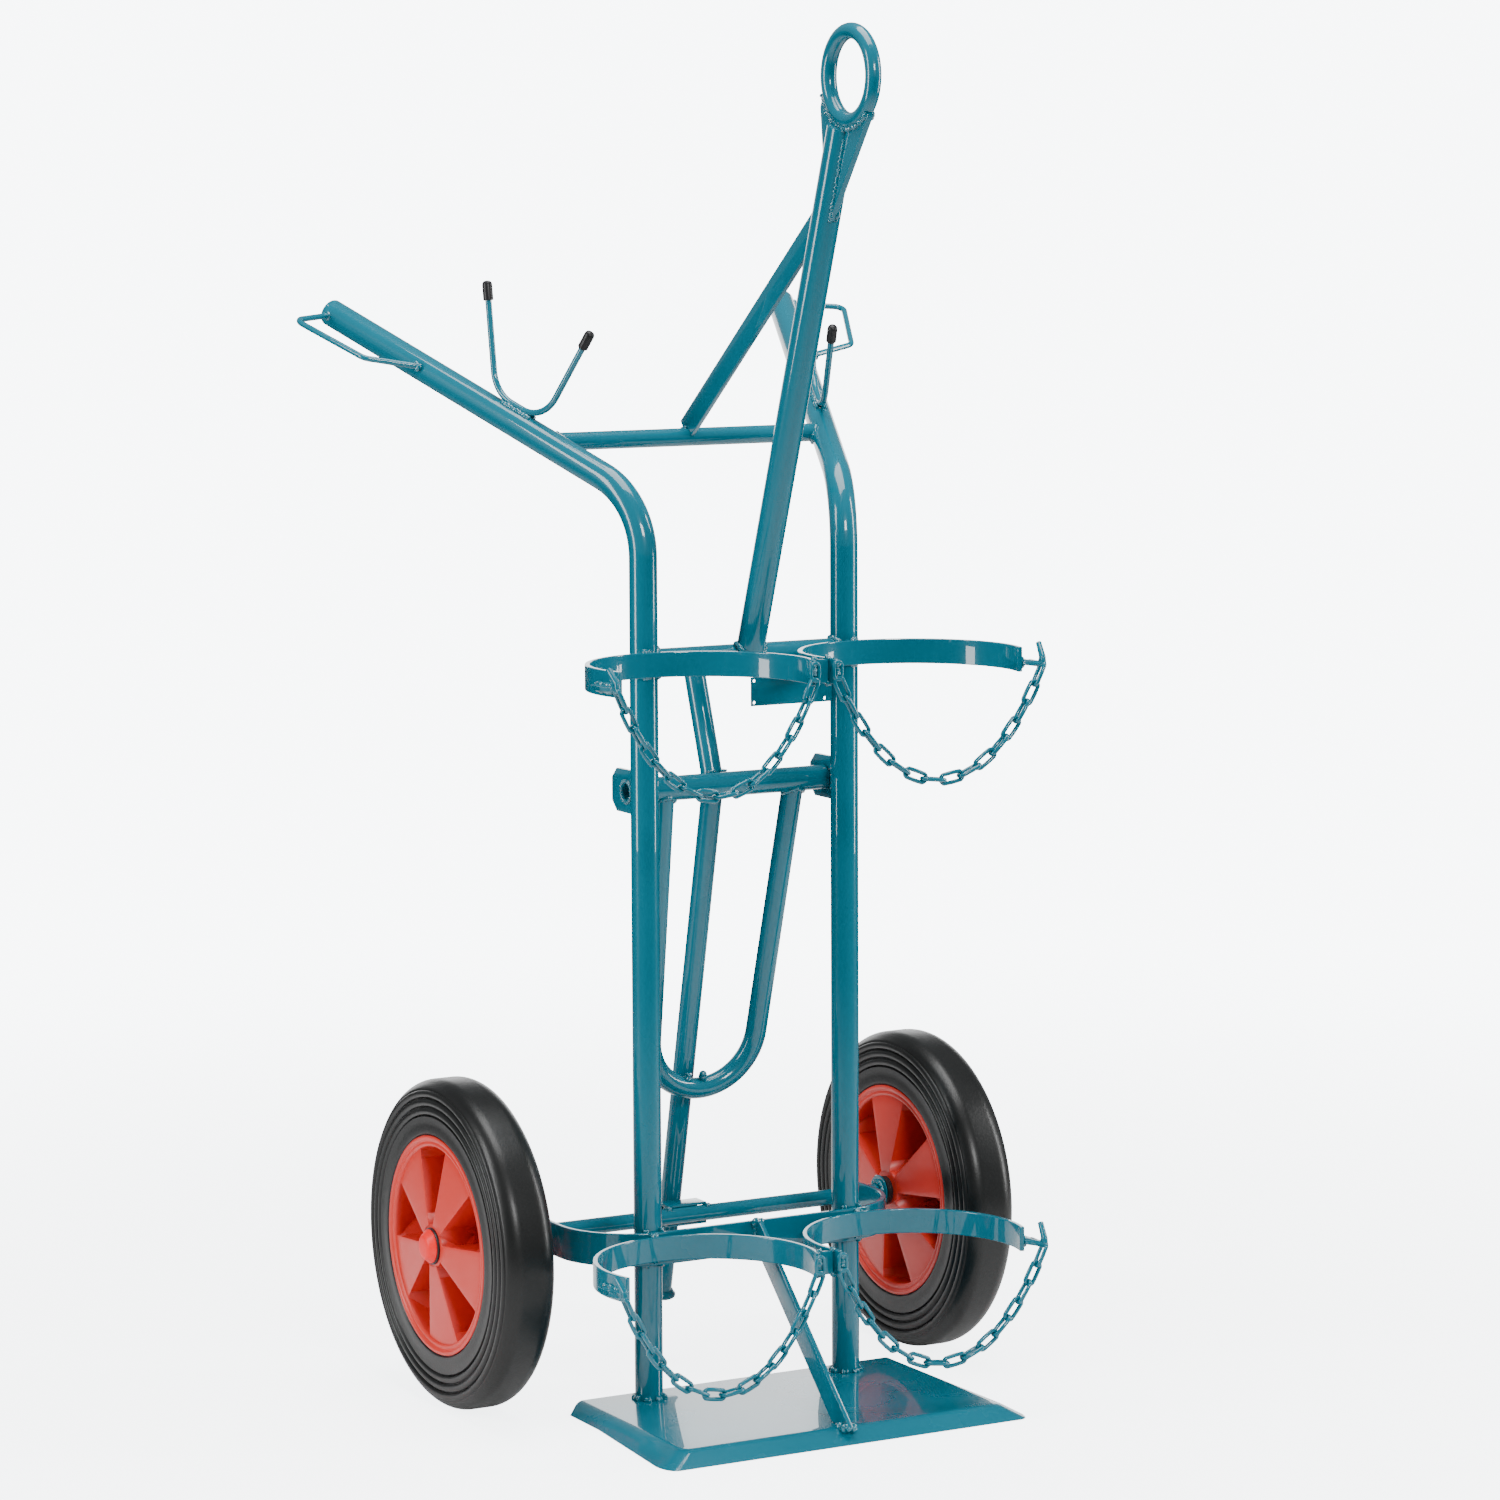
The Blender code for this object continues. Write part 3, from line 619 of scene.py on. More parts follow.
def turned(
    name: str, profile: Sequence[tuple], centre: Vector, axis: Vector, steps: int = 96
) -> bpy.types.Object:
    """A turned piece: one vertex is extruded along the profile, which is then spun round.

    Args:
        name: The piece's name.
        profile: Pairs of radius and distance along the axis.
        centre: The place of distance zero.
        axis: The direction of the axis.
        steps: Faces round the whole turn.

    Returns:
        The piece, in place.
    """
    clear_selection()
    bpy.ops.mesh.primitive_plane_add(size=0.001, location=(0, 0, 0))
    piece = bpy.context.object
    piece.name = name
    edit(piece)
    bpy.ops.mesh.merge(type="CENTER")
    here = Vector((0, 0, 0))
    for index, (radius, height) in enumerate(profile):
        there = Vector((radius, 0, height))
        if index == 0:
            bpy.ops.transform.translate(value=there)
        else:
            bpy.ops.mesh.extrude_vertices_move(TRANSFORM_OT_translate={"value": there - here})
        here = there
    bpy.ops.mesh.select_all(action="SELECT")
    bpy.ops.mesh.spin(steps=steps, angle=math.tau, center=(0, 0, 0), axis=(0, 0, 1))
    bpy.ops.object.mode_set(mode="OBJECT")
    piece.matrix_world = Matrix.Translation(centre) @ axis.to_track_quat("Z", "Y").to_matrix().to_4x4()
    settle(piece)
    tidy_faces(piece)
    return piece


def softened(node: str, width: float) -> bpy.types.Object:
    """A copy of a node's solid with its edges rounded.

    Args:
        node: The node.
        width: The width of the rounding.

    Returns:
        The new piece.
    """
    clear_selection()
    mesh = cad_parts[node].data.copy()
    piece = bpy.data.objects.new(f"{node}_finished", mesh)
    bpy.context.scene.collection.objects.link(piece)
    edit(piece)
    bpy.ops.mesh.remove_doubles(threshold=0.00001)
    bpy.ops.mesh.dissolve_limited(angle_limit=math.radians(1.0))
    bpy.ops.mesh.normals_make_consistent(inside=False)
    bpy.ops.object.mode_set(mode="OBJECT")
    round_edges(piece, width)
    return piece


def cut_away(thing: bpy.types.Object, cutter: bpy.types.Object) -> None:
    """Cut one solid out of another and remove the cutter.

    Args:
        thing: The object.
        cutter: The solid to cut away.
    """
    apply_modifier(thing, "BOOLEAN", object=cutter, operation="DIFFERENCE", solver="EXACT")
    bpy.data.objects.remove(cutter, do_unlink=True)
    shade(thing, 35)


def rod_cutter(start: Vector, end: Vector, radius: float) -> bpy.types.Object:
    """A round cutter between two points.

    Args:
        start: Where it starts.
        end: Where it ends.
        radius: Its radius.

    Returns:
        The cutter.
    """
    return bent_bar("cutter", Round(radius, 64), [start, end])


# ---------------------------------------------------------------- weld beads


@dataclass
class WeldBeads:
    """The beads of one body: each is a lumpy run of weld along a route."""

    body: str
    lump: float = 0.0011
    lump_size: float = 0.0045
    spacing: float = 0.0014
    runs: list = field(default_factory=list)

    def run(self, route: Sequence[Vector], radius: float, closed: bool = False) -> None:
        """Lay a bead along a route.

        Args:
            route: The points of its middle.
            radius: Half the bead's width.
            closed: Whether the bead meets itself.
        """
        curve = bpy.data.curves.new("bead", "CURVE")
        curve.dimensions = "3D"
        curve.bevel_depth = radius
        curve.bevel_resolution = 3
        curve.use_fill_caps = True
        spline = curve.splines.new("POLY")
        dense = self.dense(route, closed)
        spline.points.add(len(dense) - 1)
        spline.use_cyclic_u = closed
        for index, (point, place) in enumerate(zip(spline.points, dense)):
            point.co = (*place, 1.0)
            ripple = 0.20 * math.sin(index * 1.7)
            swell = 0.22 * math.sin(index * 0.61 + len(self.runs))
            point.radius = 1.22 + ripple + swell
        bead = bpy.data.objects.new("bead", curve)
        bpy.context.scene.collection.objects.link(bead)
        select_only(bead)
        bpy.ops.object.convert(target="MESH")
        self.runs.append(bpy.context.object)

    def dense(self, route: Sequence[Vector], closed: bool) -> list[Vector]:
        """The route with its points evenly close together.

        Args:
            route: The points of the route.
            closed: Whether the route meets itself.

        Returns:
            The points.
        """
        ends = list(route) + ([route[0]] if closed else [])
        points = []
        for start, end in zip(ends, ends[1:]):
            steps = max(1, round((end - start).length / self.spacing))
            points += [start.lerp(end, i / steps) for i in range(steps)]
        return points if closed else [*points, ends[-1]]

    def blob(self, centre: Vector, along: Vector, length: float, radius: float) -> None:
        """Lay a short bead about a centre.

        Args:
            centre: Its middle.
            along: The direction that it runs in.
            length: Its length.
            radius: Half the width of the bead.
        """
        half = along.normalized() * length / 2
        self.run([centre - half, centre + half], radius)

    def finish(self) -> None:
        """Join the beads, give them their lumps and hand them over."""
        whole = join(self.runs, f"weld_beads_{self.body}")
        texture = bpy.data.textures.new("weld_lumps", "CLOUDS")
        texture.noise_scale = self.lump_size
        edit(whole)
        bpy.ops.mesh.remove_doubles(threshold=MERGE)
        bpy.ops.mesh.normals_make_consistent(inside=False)
        bpy.ops.object.mode_set(mode="OBJECT")
        settings = {"texture": texture, "mid_level": 0.5, "texture_coords": "GLOBAL"}
        apply_modifier(whole, "DISPLACE", strength=self.lump * 2, **settings)
        bpy.ops.object.shade_smooth()
        dress(whole, BEAD_PAINT, self.body)


def saddle(
    point: Vector, branch: Vector, branch_r: float, main: Vector, main_r: float, count: int = 48
) -> list[Vector]:
    """The line where a round branch meets a round main tube, both through one point.

    Args:
        point: Where the axes cross.
        branch: The direction in which the branch leaves.
        branch_r: The branch's radius.
        main: The direction of the main tube.
        main_r: The main tube's radius.
        count: Points on the line.

    Returns:
        The points of the closed line.
    """
    branch, main = branch.normalized(), main.normalized()
    across = branch.cross(main).normalized()
    along = across.cross(branch)
    points = []
    for i in range(count):
        angle = math.tau * i / count
        offset = (along * math.cos(angle) + across * math.sin(angle)) * branch_r
        flat_offset = offset - main * offset.dot(main)
        flat_branch = branch - main * branch.dot(main)
        a = flat_branch.length_squared
        b = flat_offset.dot(flat_branch)
        c = flat_offset.length_squared - main_r * main_r
        points.append(point + offset + branch * ((-b + math.sqrt(max(b * b - a * c, 0.0))) / a))
    return points


def mirrored(corner: Vector, side: Side) -> Vector:
    """A point of the right-hand side, or its mirror image on the left.

    Args:
        corner: The point on the right-hand side.
        side: The side of the trolley.

    Returns:
        The point on the given side.
    """
    return Vector((corner.x * side.value, corner.y, corner.z))


# ---------------------------------------------------------------- the tube frame


@dataclass
class TubeFrame:
    """The uprights that bend into the handles, and the two tubes across them."""

    tube_r: float = 0.01685
    upright_x: float = 0.1365
    corner_z: float = 1.098
    end: tuple = (0.3193, 0.480, 1.3095)
    bend_r: float = 0.100
    foot_z: float = 0.0173
    plug: float = 0.006
    cross_z: float = 0.905
    handle_cross_r: float = 0.011
    handle_cross_y: float = 0.140
    handle_cross_z: float = 1.161

    def handle_at(self, y: float) -> Vector:
        """The point of the right handle's axis this far behind the uprights.

        Args:
            y: Distance behind the uprights.

        Returns:
            The point.
        """
        return at(self.upright_x, 0, self.corner_z).lerp(at(*self.end), y / self.end[1])

    def along(self) -> Vector:
        """The right handle's direction.

        Returns:
            The direction, one metre long.
        """
        return (self.handle_at(self.end[1]) - self.handle_at(0)).normalized()

    def build(self, beads: WeldBeads) -> None:
        """Build the tubes, their end plugs and their welds.

        Args:
            beads: The frame's weld beads.
        """
        for side in Side:
            foot = at(self.upright_x, 0, self.foot_z)
            end = self.handle_at(self.end[1]) - self.along() * (self.plug - 0.0004)
            corners = [mirrored(corner, side) for corner in (foot, self.handle_at(0), end)]
            section = Round(self.tube_r, 48)
            tube = bent_bar(f"{side.word}_bent_upright", section, corners, self.bend_r, 3.0)
            dress(tube, PAINT, "frame", [f"{side.word}_upright"])
            self.build_plug(side)
            ring = self.foot_ring(side)
            for first in range(0, 40, 5):
                beads.run([ring[(first + step) % 40] for step in range(4)], 0.0027 + 0.0004 * (first % 3))
            centre = at(self.upright_x * side.value, 0, self.cross_z)
            across = Vector((-side.value, 0, 0))
            line = saddle(centre, across, self.tube_r, UP, self.tube_r)
            beads.run(line, 0.0028, closed=True)
            joint = mirrored(self.handle_at(self.handle_cross_y), side)
            line = saddle(joint, across, self.handle_cross_r, mirrored(self.along(), side), self.tube_r)
            beads.run(line, 0.0022, closed=True)
        upper = Round(self.tube_r, 48)
        self.cross(upper, at(0, 0, self.cross_z), self.upright_x - self.tube_r * 0.5, "upper_cross_tube")
        middle = at(0, self.handle_cross_y, self.handle_cross_z)
        half = self.handle_at(self.handle_cross_y).x - 0.008
        self.cross(Round(self.handle_cross_r, 40), middle, half, "handle_cross_tube")

    def cross(self, section: Round, middle: Vector, half: float, node: str) -> None:
        """Build one level tube between the two sides.

        Args:
            section: The tube's section.
            middle: The middle of the tube.
            half: Half its length.
            node: The name of the frame's node.
        """
        reach = RIGHT * half
        tube = bent_bar(f"{node}_finished", section, [middle - reach, middle + reach])
        dress(tube, PAINT, "frame", [node])

    def build_plug(self, side: Side) -> None:
        """Build the round-edged plug in one handle's end.

        Args:
            side: The side of the trolley.
        """
        r, top = self.tube_r, self.plug
        profile = [(0, top), (r - 0.0045, top), (r - 0.0022, top - 0.0004), (r - 0.0007, top - 0.0014)]
        profile += [(r, top - 0.0030), (r, 0.0008), (r - 0.0008, 0.0), (0, 0)]
        start = self.handle_at(self.end[1]) - self.along() * self.plug
        along = mirrored(self.along(), side)
        plug = turned(f"{side.word}_end_plug", profile, mirrored(start, side), along, 48)
        dress(plug, PAINT, "frame", [f"{side.word}_handle_plug"])

    def foot_ring(self, side: Side) -> list[Vector]:
        """The circle where an upright stands on the toe plate.

        Args:
            side: The side of the trolley.

        Returns:
            The points of the circle.
        """
        centre = at(self.upright_x * side.value, 0, self.foot_z + 0.0012)
        turns = [math.tau * i / 40 for i in range(40)]
        return [centre + Vector((math.cos(t), math.sin(t), 0)) * (self.tube_r + 0.0008) for t in turns]


# ---------------------------------------------------------------- mast, ring and brace


@dataclass
class Mast:
    """The leaning mast, the fan-shaped plate in its top, the lifting ring and the brace."""

    ring_y: float = -0.255
    ring_z: float = 1.590
    ring_r: float = 0.0505
    rod_r: float = 0.0095
    lean: float = math.radians(19.72)
    top_gap: float = 0.061
    slot_reach: float = 0.170
    fan_half: float = 0.004
    brace_foot: tuple = (0.140, 1.1725)
    brace_slope: float = math.radians(38.2)
    brace_width: float = 0.030

    def point(self, down: float, forward: float = 0.0, x: float = 0.0) -> Vector:
        """A point by its distance down the mast from the ring's centre.

        Args:
            down: Distance down the mast's axis.
            forward: Distance forward of the axis.
            x: Distance to the right.

        Returns:
            The point.
        """
        sin, cos = math.sin(self.lean), math.cos(self.lean)
        return at(x, self.ring_y + sin * down - cos * forward, self.ring_z - cos * down - sin * forward)

    def build(self, tubes: TubeFrame, beads: WeldBeads) -> None:
        """Build the mast with all that it carries.

        Args:
            tubes: The tubes that it stands on.
            beads: The frame's weld beads.
        """
        down = (self.ring_z - tubes.cross_z) / math.cos(self.lean)
        axis = (self.point(0) - self.point(1)).normalized()
        low = self.point(down - tubes.tube_r * 0.7)
        mast = bent_bar("mast_finished", Round(tubes.tube_r, 64), [low, self.point(self.top_gap)])
        slot = self.slot_cutter()
        cut_away(mast, slot)
        dress(mast, PAINT, "frame", ["mast"])
        fan = softened("mast_top_plate", 0.0012)
        dress(fan, PAINT, "frame", ["mast_top_plate"])
        self.build_ring()
        self.build_brace()
        meet = saddle(self.point(down), axis, tubes.tube_r, RIGHT, tubes.tube_r)
        beads.run(meet, 0.0028, closed=True)
        self.weld_ring(beads)
        for x in (-self.fan_half, self.fan_half):
            outward = math.copysign(0.0006, x)
            for edge in (tubes.tube_r, -tubes.tube_r):
                here = edge * 0.985
                ends = [self.point(reach, here, x + outward) for reach in (0.070, 0.169)]
                beads.run(ends, 0.0018)
        for x in (-1, 1):
            reach = tubes.tube_r * 0.93
            rim = [self.point(self.top_gap - 0.0005, hand * reach, x * 0.0052) for hand in (-1, 1)]
            beads.run(rim, 0.0020)
        self.weld_brace(tubes, beads)

    def slot_cutter(self) -> bpy.types.Object:
        """The cutter of the slot for the plate.

        Returns:
            The cutter.
        """
        clear_selection()
        bpy.ops.mesh.primitive_cube_add(size=1.0)
        slot = bpy.context.object
        middle = self.point((self.slot_reach + self.top_gap - 0.02) / 2)
        length = self.slot_reach - self.top_gap + 0.02
        size = Matrix.Diagonal((self.fan_half * 2 + GAP * 2, 0.06, length, 1))
        slot.matrix_world = Matrix.Translation(middle) @ Matrix.Rotation(self.lean, 4, "X") @ size
        settle(slot)
        return slot

    def build_ring(self) -> None:
        """Build the lifting ring."""
        clear_selection()
        centre = self.point(0)
        bpy.ops.mesh.primitive_torus_add(
            location=centre, rotation=(0, math.pi / 2, 0), major_segments=120, minor_segments=36,
            major_radius=self.ring_r, minor_radius=self.rod_r - 0.0001,
        )
        ring = bpy.context.object
        ring.name = "lifting_ring_finished"
        settle(ring)
        bpy.ops.object.shade_smooth()
        dress(ring, PAINT, "frame", ["lifting_ring"])

    def weld_ring(self, beads: WeldBeads) -> None:
        """Weld the ring to the plate along both of its faces.

        Args:
            beads: The weld beads of the body.
        """
        radius = self.ring_r + self.rod_r - 0.0006
        for x in (-self.fan_half - 0.0005, self.fan_half + 0.0005):
            route = []
            for i in range(25):
                angle = math.radians(-20 - 115 * i / 24)
                route.append(self.point(0, 0, x) + Vector((0, math.cos(angle), math.sin(angle))) * radius)
            beads.run(route, 0.0030)

    def build_brace(self) -> None:
        """Build the flat brace from the handles' cross tube to the mast."""
        brace = softened("mast_brace", 0.0009)
        dress(brace, PAINT, "frame", ["mast_brace"])

    def weld_brace(self, tubes: TubeFrame, beads: WeldBeads) -> None:
        """Weld both ends of the brace.

        Args:
            tubes: The uprights and handles.
            beads: The weld beads of the body.
        """
        forward = Vector((0, -math.cos(self.brace_slope), math.sin(self.brace_slope)))
        square = Vector((0, math.sin(self.brace_slope), math.cos(self.brace_slope)))
        tube = at(0, tubes.handle_cross_y, tubes.handle_cross_z)
        foot = at(0, *self.brace_foot)
        axis = self.point(0) - self.point(1)
        sideways = Vector((0, axis.z, -axis.y))
        start = foot + forward * (tube - foot).dot(forward)
        end = start + forward * ((self.point(0) - start).dot(sideways) / forward.dot(sideways))
        back = 0.0173 / abs(forward.dot(sideways.normalized()))
        half = square * self.brace_width / 2
        lean = axis.normalized()
        across = sideways.normalized()
        along = forward * half.dot(across) / forward.dot(across)
        for x in (-0.0034, 0.0034):
            shift = Vector((x, 0, 0))
            joint = end - forward * back
            high = joint + half - along
            low = joint - half + along
            beads.run([high + shift - lean * 0.001, low + shift + lean * 0.001], 0.0021)
            ring = []
            for i in range(13):
                angle = self.brace_slope + math.radians(-8 + 118 * i / 12) - 0.6
                ring.append(tube + shift + Vector((0, math.sin(angle), math.cos(angle))) * 0.0115)
            beads.run(ring, 0.0020)


# ---------------------------------------------------------------- rods on the handles


@dataclass
class HandleRods:
    """The hand guards outside the grips and the hose hooks on top of the handles."""

    rod_r: float = 0.004
    guard_rod_r: float = 0.0037
    guard_rear: tuple = (0.387, 0.433, 1.302)
    guard_front: tuple = (0.341, 0.333, 1.258)
    guard_weld: tuple = (0.260, 0.313, 1.244)
    guard_bend: float = 0.015
    cap_r: float = 0.00625
    cap_length: float = 0.024
    hook_start: float = 0.140
    tips: tuple = ((0.0973, 1.352), (-0.0708, 1.294))
    base: tuple = (0.0846, 0.0081)
    hook_bend: float = 0.045

    def build(self, tubes: TubeFrame, beads: WeldBeads) -> None:
        """Build the rods on both handles.

        Args:
            tubes: The handles.
            beads: The frame's weld beads.
        """
        for side in Side:
            self.build_guard(side, tubes, beads)
            self.build_hook(side, tubes, beads)

    def build_guard(self, side: Side, tubes: TubeFrame, beads: WeldBeads) -> None:
        """Build one hand guard with both of its welds.

        Args:
            side: The side of the trolley.
            tubes: The uprights and handles.
            beads: The weld beads of the body.
        """
        corners = [tubes.handle_at(0.472), at(*self.guard_rear), at(*self.guard_front), at(*self.guard_weld)]
        corners[0] += (corners[1] - corners[0]).normalized() * (tubes.tube_r * 0.85)
        corners[3] += (corners[2] - corners[3]).normalized() * (tubes.tube_r * 0.85)
        corners = [mirrored(corner, side) for corner in corners]
        section = Round(self.guard_rod_r, 24)
        guard = bent_bar(f"{side.word}_hand_guard_finished", section, corners, self.guard_bend)
        dress(guard, PAINT, "frame", [f"{side.word}_hand_guard"])
        for foot, away in ((corners[0], corners[1]), (corners[3], corners[2])):
            out = (away - foot).normalized()
            origin = foot - out * tubes.tube_r * 0.85
            line = saddle(origin, out, self.rod_r, mirrored(tubes.along(), side), tubes.tube_r, 20)
            beads.run(line, 0.0021, closed=True)

    def build_hook(self, side: Side, tubes: TubeFrame, beads: WeldBeads) -> None:
        """Build one hose hook, its two caps and its welds.

        Args:
            side: The side of the trolley.
            tubes: The uprights and handles.
            beads: The weld beads of the body.
        """
        start = tubes.handle_at(self.hook_start)
        along = tubes.along()
        level = Vector((along.x, along.y, 0)).normalized()
        slope = along.z / Vector((along.x, along.y)).length
        lift = (tubes.tube_r + self.rod_r + GAP) * math.sqrt(1 + slope * slope)

        def place(run: float, height: float) -> Vector:
            """A point by its distance along the handle and its height.

            Args:
                run: Distance along the handle.
                height: Height above the floor.

            Returns:
                The point.
            """
            point = start + level * run
            return Vector((point.x * side.value, point.y, height))

        tips = [place(*tip) for tip in self.tips]
        base = [place(run, start.z + slope * run + lift - 0.0008) for run in self.base]
        ends = []
        for word, corner, tip in zip(("rear", "front"), base, tips):
            out = (tip - corner).normalized()
            r, n = self.cap_r, self.cap_length
            profile = [(0, 0), (r * 0.45, -0.0004), (r * 0.75, -0.0014), (r * 0.94, -0.0032), (r, -0.0056)]
            profile += [(r, -n + 0.0008), (r - 0.0006, -n), (self.rod_r - 0.0003, -n), (0, -n)]
            cap = turned(f"{side.word}_{word}_soft_cap", profile, tip, out, 32)
            dress(cap, SOFT_CAP, "frame", [f"{side.word}_hose_hook_{word}_cap"])
            ends.append(tip - out * 0.004)
        corners = [ends[0], *base, ends[1]]
        rod = bent_bar(f"{side.word}_hose_hook_finished", Round(self.rod_r, 24), corners, self.hook_bend)
        dress(rod, PAINT, "frame", [f"{side.word}_hose_hook"])
        line = (base[0] - base[1]).normalized()
        middle = (base[0] + base[1]) / 2
        below = line.cross(UP.cross(line)).normalized()
        down = below if below.z < 0 else -below
        sideways = line.cross(down)
        for hand in (-1, 1):
            offset = sideways * hand * 0.0042 + down * 0.0036
            beads.run([middle - line * 0.024 + offset, middle + line * 0.024 + offset], 0.0024)


# ---------------------------------------------------------------- cradles


@dataclass
class Cradles:
    """The four bands that hold the bottles, the spacers between them, and the chains' fittings."""

    band_r: float = 0.132
    band_x: float = 0.141
    height: float = 0.030
    thickness: float = 0.006
    past: float = math.radians(17.6)
    tops: dict = field(default_factory=lambda: {Level.UPPER: 0.920, Level.LOWER: 0.220})
    middles: dict = field(default_factory=lambda: {Level.UPPER: -0.1522, Level.LOWER: -0.1597})
    rod_r: float = 0.0035
    hook_drop: float = 0.0195
    eye_wire: float = 0.0024
    eye_half: float = 0.0105

    def point(self, side: Side, level: Level, radius: float, past: float, z: float) -> Vector:
        """A point by its angle past a cradle's middle at the outer side.

        Args:
            side: The cradle's side.
            level: The cradle's level.
            radius: Distance from the cradle's middle.
            past: Angle towards the front, in radians.
            z: Height.

        Returns:
            The point.
        """
        x = side.value * (self.band_x + radius * math.cos(past))
        return at(x, self.middles[level] - radius * math.sin(past), z)

    def hook_bend(self, side: Side, level: Level) -> Vector:
        """The corner of a chain hook.

        Args:
            side: The side of the trolley.
            level: The height that the cradle is at.

        Returns:
            The corner.
        """
        return self.point(side, level, 0.1570, math.radians(24.5), self.tops[level] - self.hook_drop)

    def eye_centre(self, side: Side, level: Level) -> Vector:
        """The middle of a chain eye.

        Args:
            side: The side of the trolley.
            level: The height that the cradle is at.

        Returns:
            The middle.
        """
        y = self.middles[level] - self.band_r * math.sin(self.past) - 0.0040
        x = 2 * self.band_x - (self.band_x + self.band_r * math.cos(self.past))
        return at(side.value * x, y, self.tops[level] - 0.014)

    def build(self, beads: WeldBeads) -> None:
        """Build the bands, spacers, hooks and eyes.

        Args:
            beads: The weld beads of the body.
        """
        for level in Level:
            for side in Side:
                self.build_band(side, level)
                self.build_hook(side, level, beads)
                self.build_eye(side, level, beads)
                self.weld_band(side, level, beads)
            spacer = softened(f"{level.value}_cradle_spacer", 0.0008)
            dress(spacer, PAINT, "frame", [f"{level.value}_cradle_spacer"])

    def build_band(self, side: Side, level: Level) -> None:
        """Build one band: a flat section spun round the cradle, its edges rounded.

        Args:
            side: The side of the trolley.
            level: The height that the cradle is at.
        """
        z = self.tops[level] - self.height / 2
        middle = at(side.value * self.band_x, self.middles[level], z)
        start = -self.past
        begin = middle + Vector((math.cos(start), math.sin(start), 0)) * self.band_r
        run = Vector((-math.sin(start), math.cos(start), 0))
        band = Flat(self.thickness - 0.0002, self.height).draw(f"{level.value}_{side.word}_band", begin, run)
        edit(band)
        sweep = math.pi + 2 * self.past
        bpy.ops.mesh.spin(steps=72, angle=-sweep, center=middle, axis=(0, 0, 1))
        tidy_faces(band)
        round_edges(band, 0.0011, 3, 50)
        dress(band, PAINT, "frame", [f"{level.value}_{side.word}_cradle_band"])

    def build_hook(self, side: Side, level: Level, beads: WeldBeads) -> None:
        """Build one chain hook: a rod against the band that turns up into a finger.

        Args:
            side: The side of the trolley.
            level: The height that the cradle is at.
            beads: The weld beads of the body.
        """
        z = self.tops[level] - self.hook_drop
        bend = self.hook_bend(side, level)
        inside = self.band_r + self.thickness / 2 + self.rod_r + GAP
        root = self.point(side, level, inside, math.radians(2), z)
        second = self.point(side, level, inside + 0.0008, math.radians(13), z)
        rise = bend + Vector((0, 0.0015, 0.0085))
        tip = bend + Vector((0.003 * side.value, 0.016, 0.0240))
        corners = [root, second, bend, rise, tip]
        hook = bent_bar(f"{level.value}_{side.word}_hook_rod", Round(self.rod_r, 20), corners, 0.0032, 12)
        plate = softened(f"{level.value}_{side.word}_chain_hook", 0.0004)
        whole = join([hook, plate], f"{level.value}_{side.word}_hook")
        dress(whole, PAINT, "frame", [f"{level.value}_{side.word}_chain_hook"])
        for height in (-0.0036, 0.0036):
            near = self.band_r + 0.0040
            turns = [math.radians(angle) for angle in (0, 5, 10, 15)]
            beads.run([self.point(side, level, near, turn, z + height) for turn in turns], 0.0024)

    def build_eye(self, side: Side, level: Level, beads: WeldBeads) -> None:
        """Build the link welded upright in front of a band's inner end.

        Args:
            side: The side of the trolley.
            level: The height that the cradle is at.
            beads: The weld beads of the body.
        """
        centre = self.eye_centre(side, level)
        eye = Link(self.eye_wire, 0.0052, self.eye_half).build(f"{level.value}_{side.word}_eye", centre)
        dress(eye, PAINT, "frame", [f"{level.value}_{side.word}_chain_eye"])
        rear = centre + Vector((0.0006 * side.value, 0.0018, 0.002))
        beads.run([rear - Vector((0, 0, 0.007)), rear + Vector((0, 0, 0.0075))], 0.0030)

    def weld_band(self, side: Side, level: Level, beads: WeldBeads) -> None:
        """Weld a band to the upright, or to the bow, and to its spacer.

        Args:
            side: The side of the trolley.
            level: The height that the cradle is at.
            beads: The weld beads of the body.
        """
        z = self.tops[level] - self.height / 2
        for angle, spread in ((90, 7), (90, -7)):
            for z_off in (-self.height / 2 + 0.0005, self.height / 2 - 0.0005):
                start = self.point(side, level, self.band_r + 0.0052, math.radians(-angle), z + z_off)
                offset = Vector((spread * 0.0007, 0, 0))
                beads.run([start - offset, start + offset], 0.0031)
        inner = self.middles[level] - 0.0305
        for z_off in (-0.0145, 0.0145):
            spot = at(side.value * 0.0095, inner, z + z_off)
            beads.run([spot - Vector((0.0026, 0, 0)), spot + Vector((0.0026, 0, 0))], 0.0024)


@dataclass
class Link:
    """One link of round wire, its long way up and its face to the front."""

    wire: float
    half_width: float
    half_length: float

    def build(self, name: str, centre: Vector) -> bpy.types.Object:
        """Build the link from a ring whose halves are moved apart.

        Args:
            name: The link's name.
            centre: Its middle.

        Returns:
            The link.
        """
        clear_selection()
        bpy.ops.mesh.primitive_torus_add(
            major_radius=self.half_width, minor_radius=self.wire, major_segments=20, minor_segments=10,
            rotation=(math.pi / 2, 0, 0),
        )
        link = bpy.context.object
        link.name = name
        settle(link)
        stretch = self.half_length - self.half_width
        shape = bmesh.new()
        shape.from_mesh(link.data)
        for vertex in shape.verts:
            vertex.co.z += math.copysign(stretch, vertex.co.z) if abs(vertex.co.z) > 1e-6 else 0.0
            vertex.co += centre
        shape.to_mesh(link.data)
        shape.free()
        select_only(link)
        bpy.ops.object.shade_smooth()
        return link


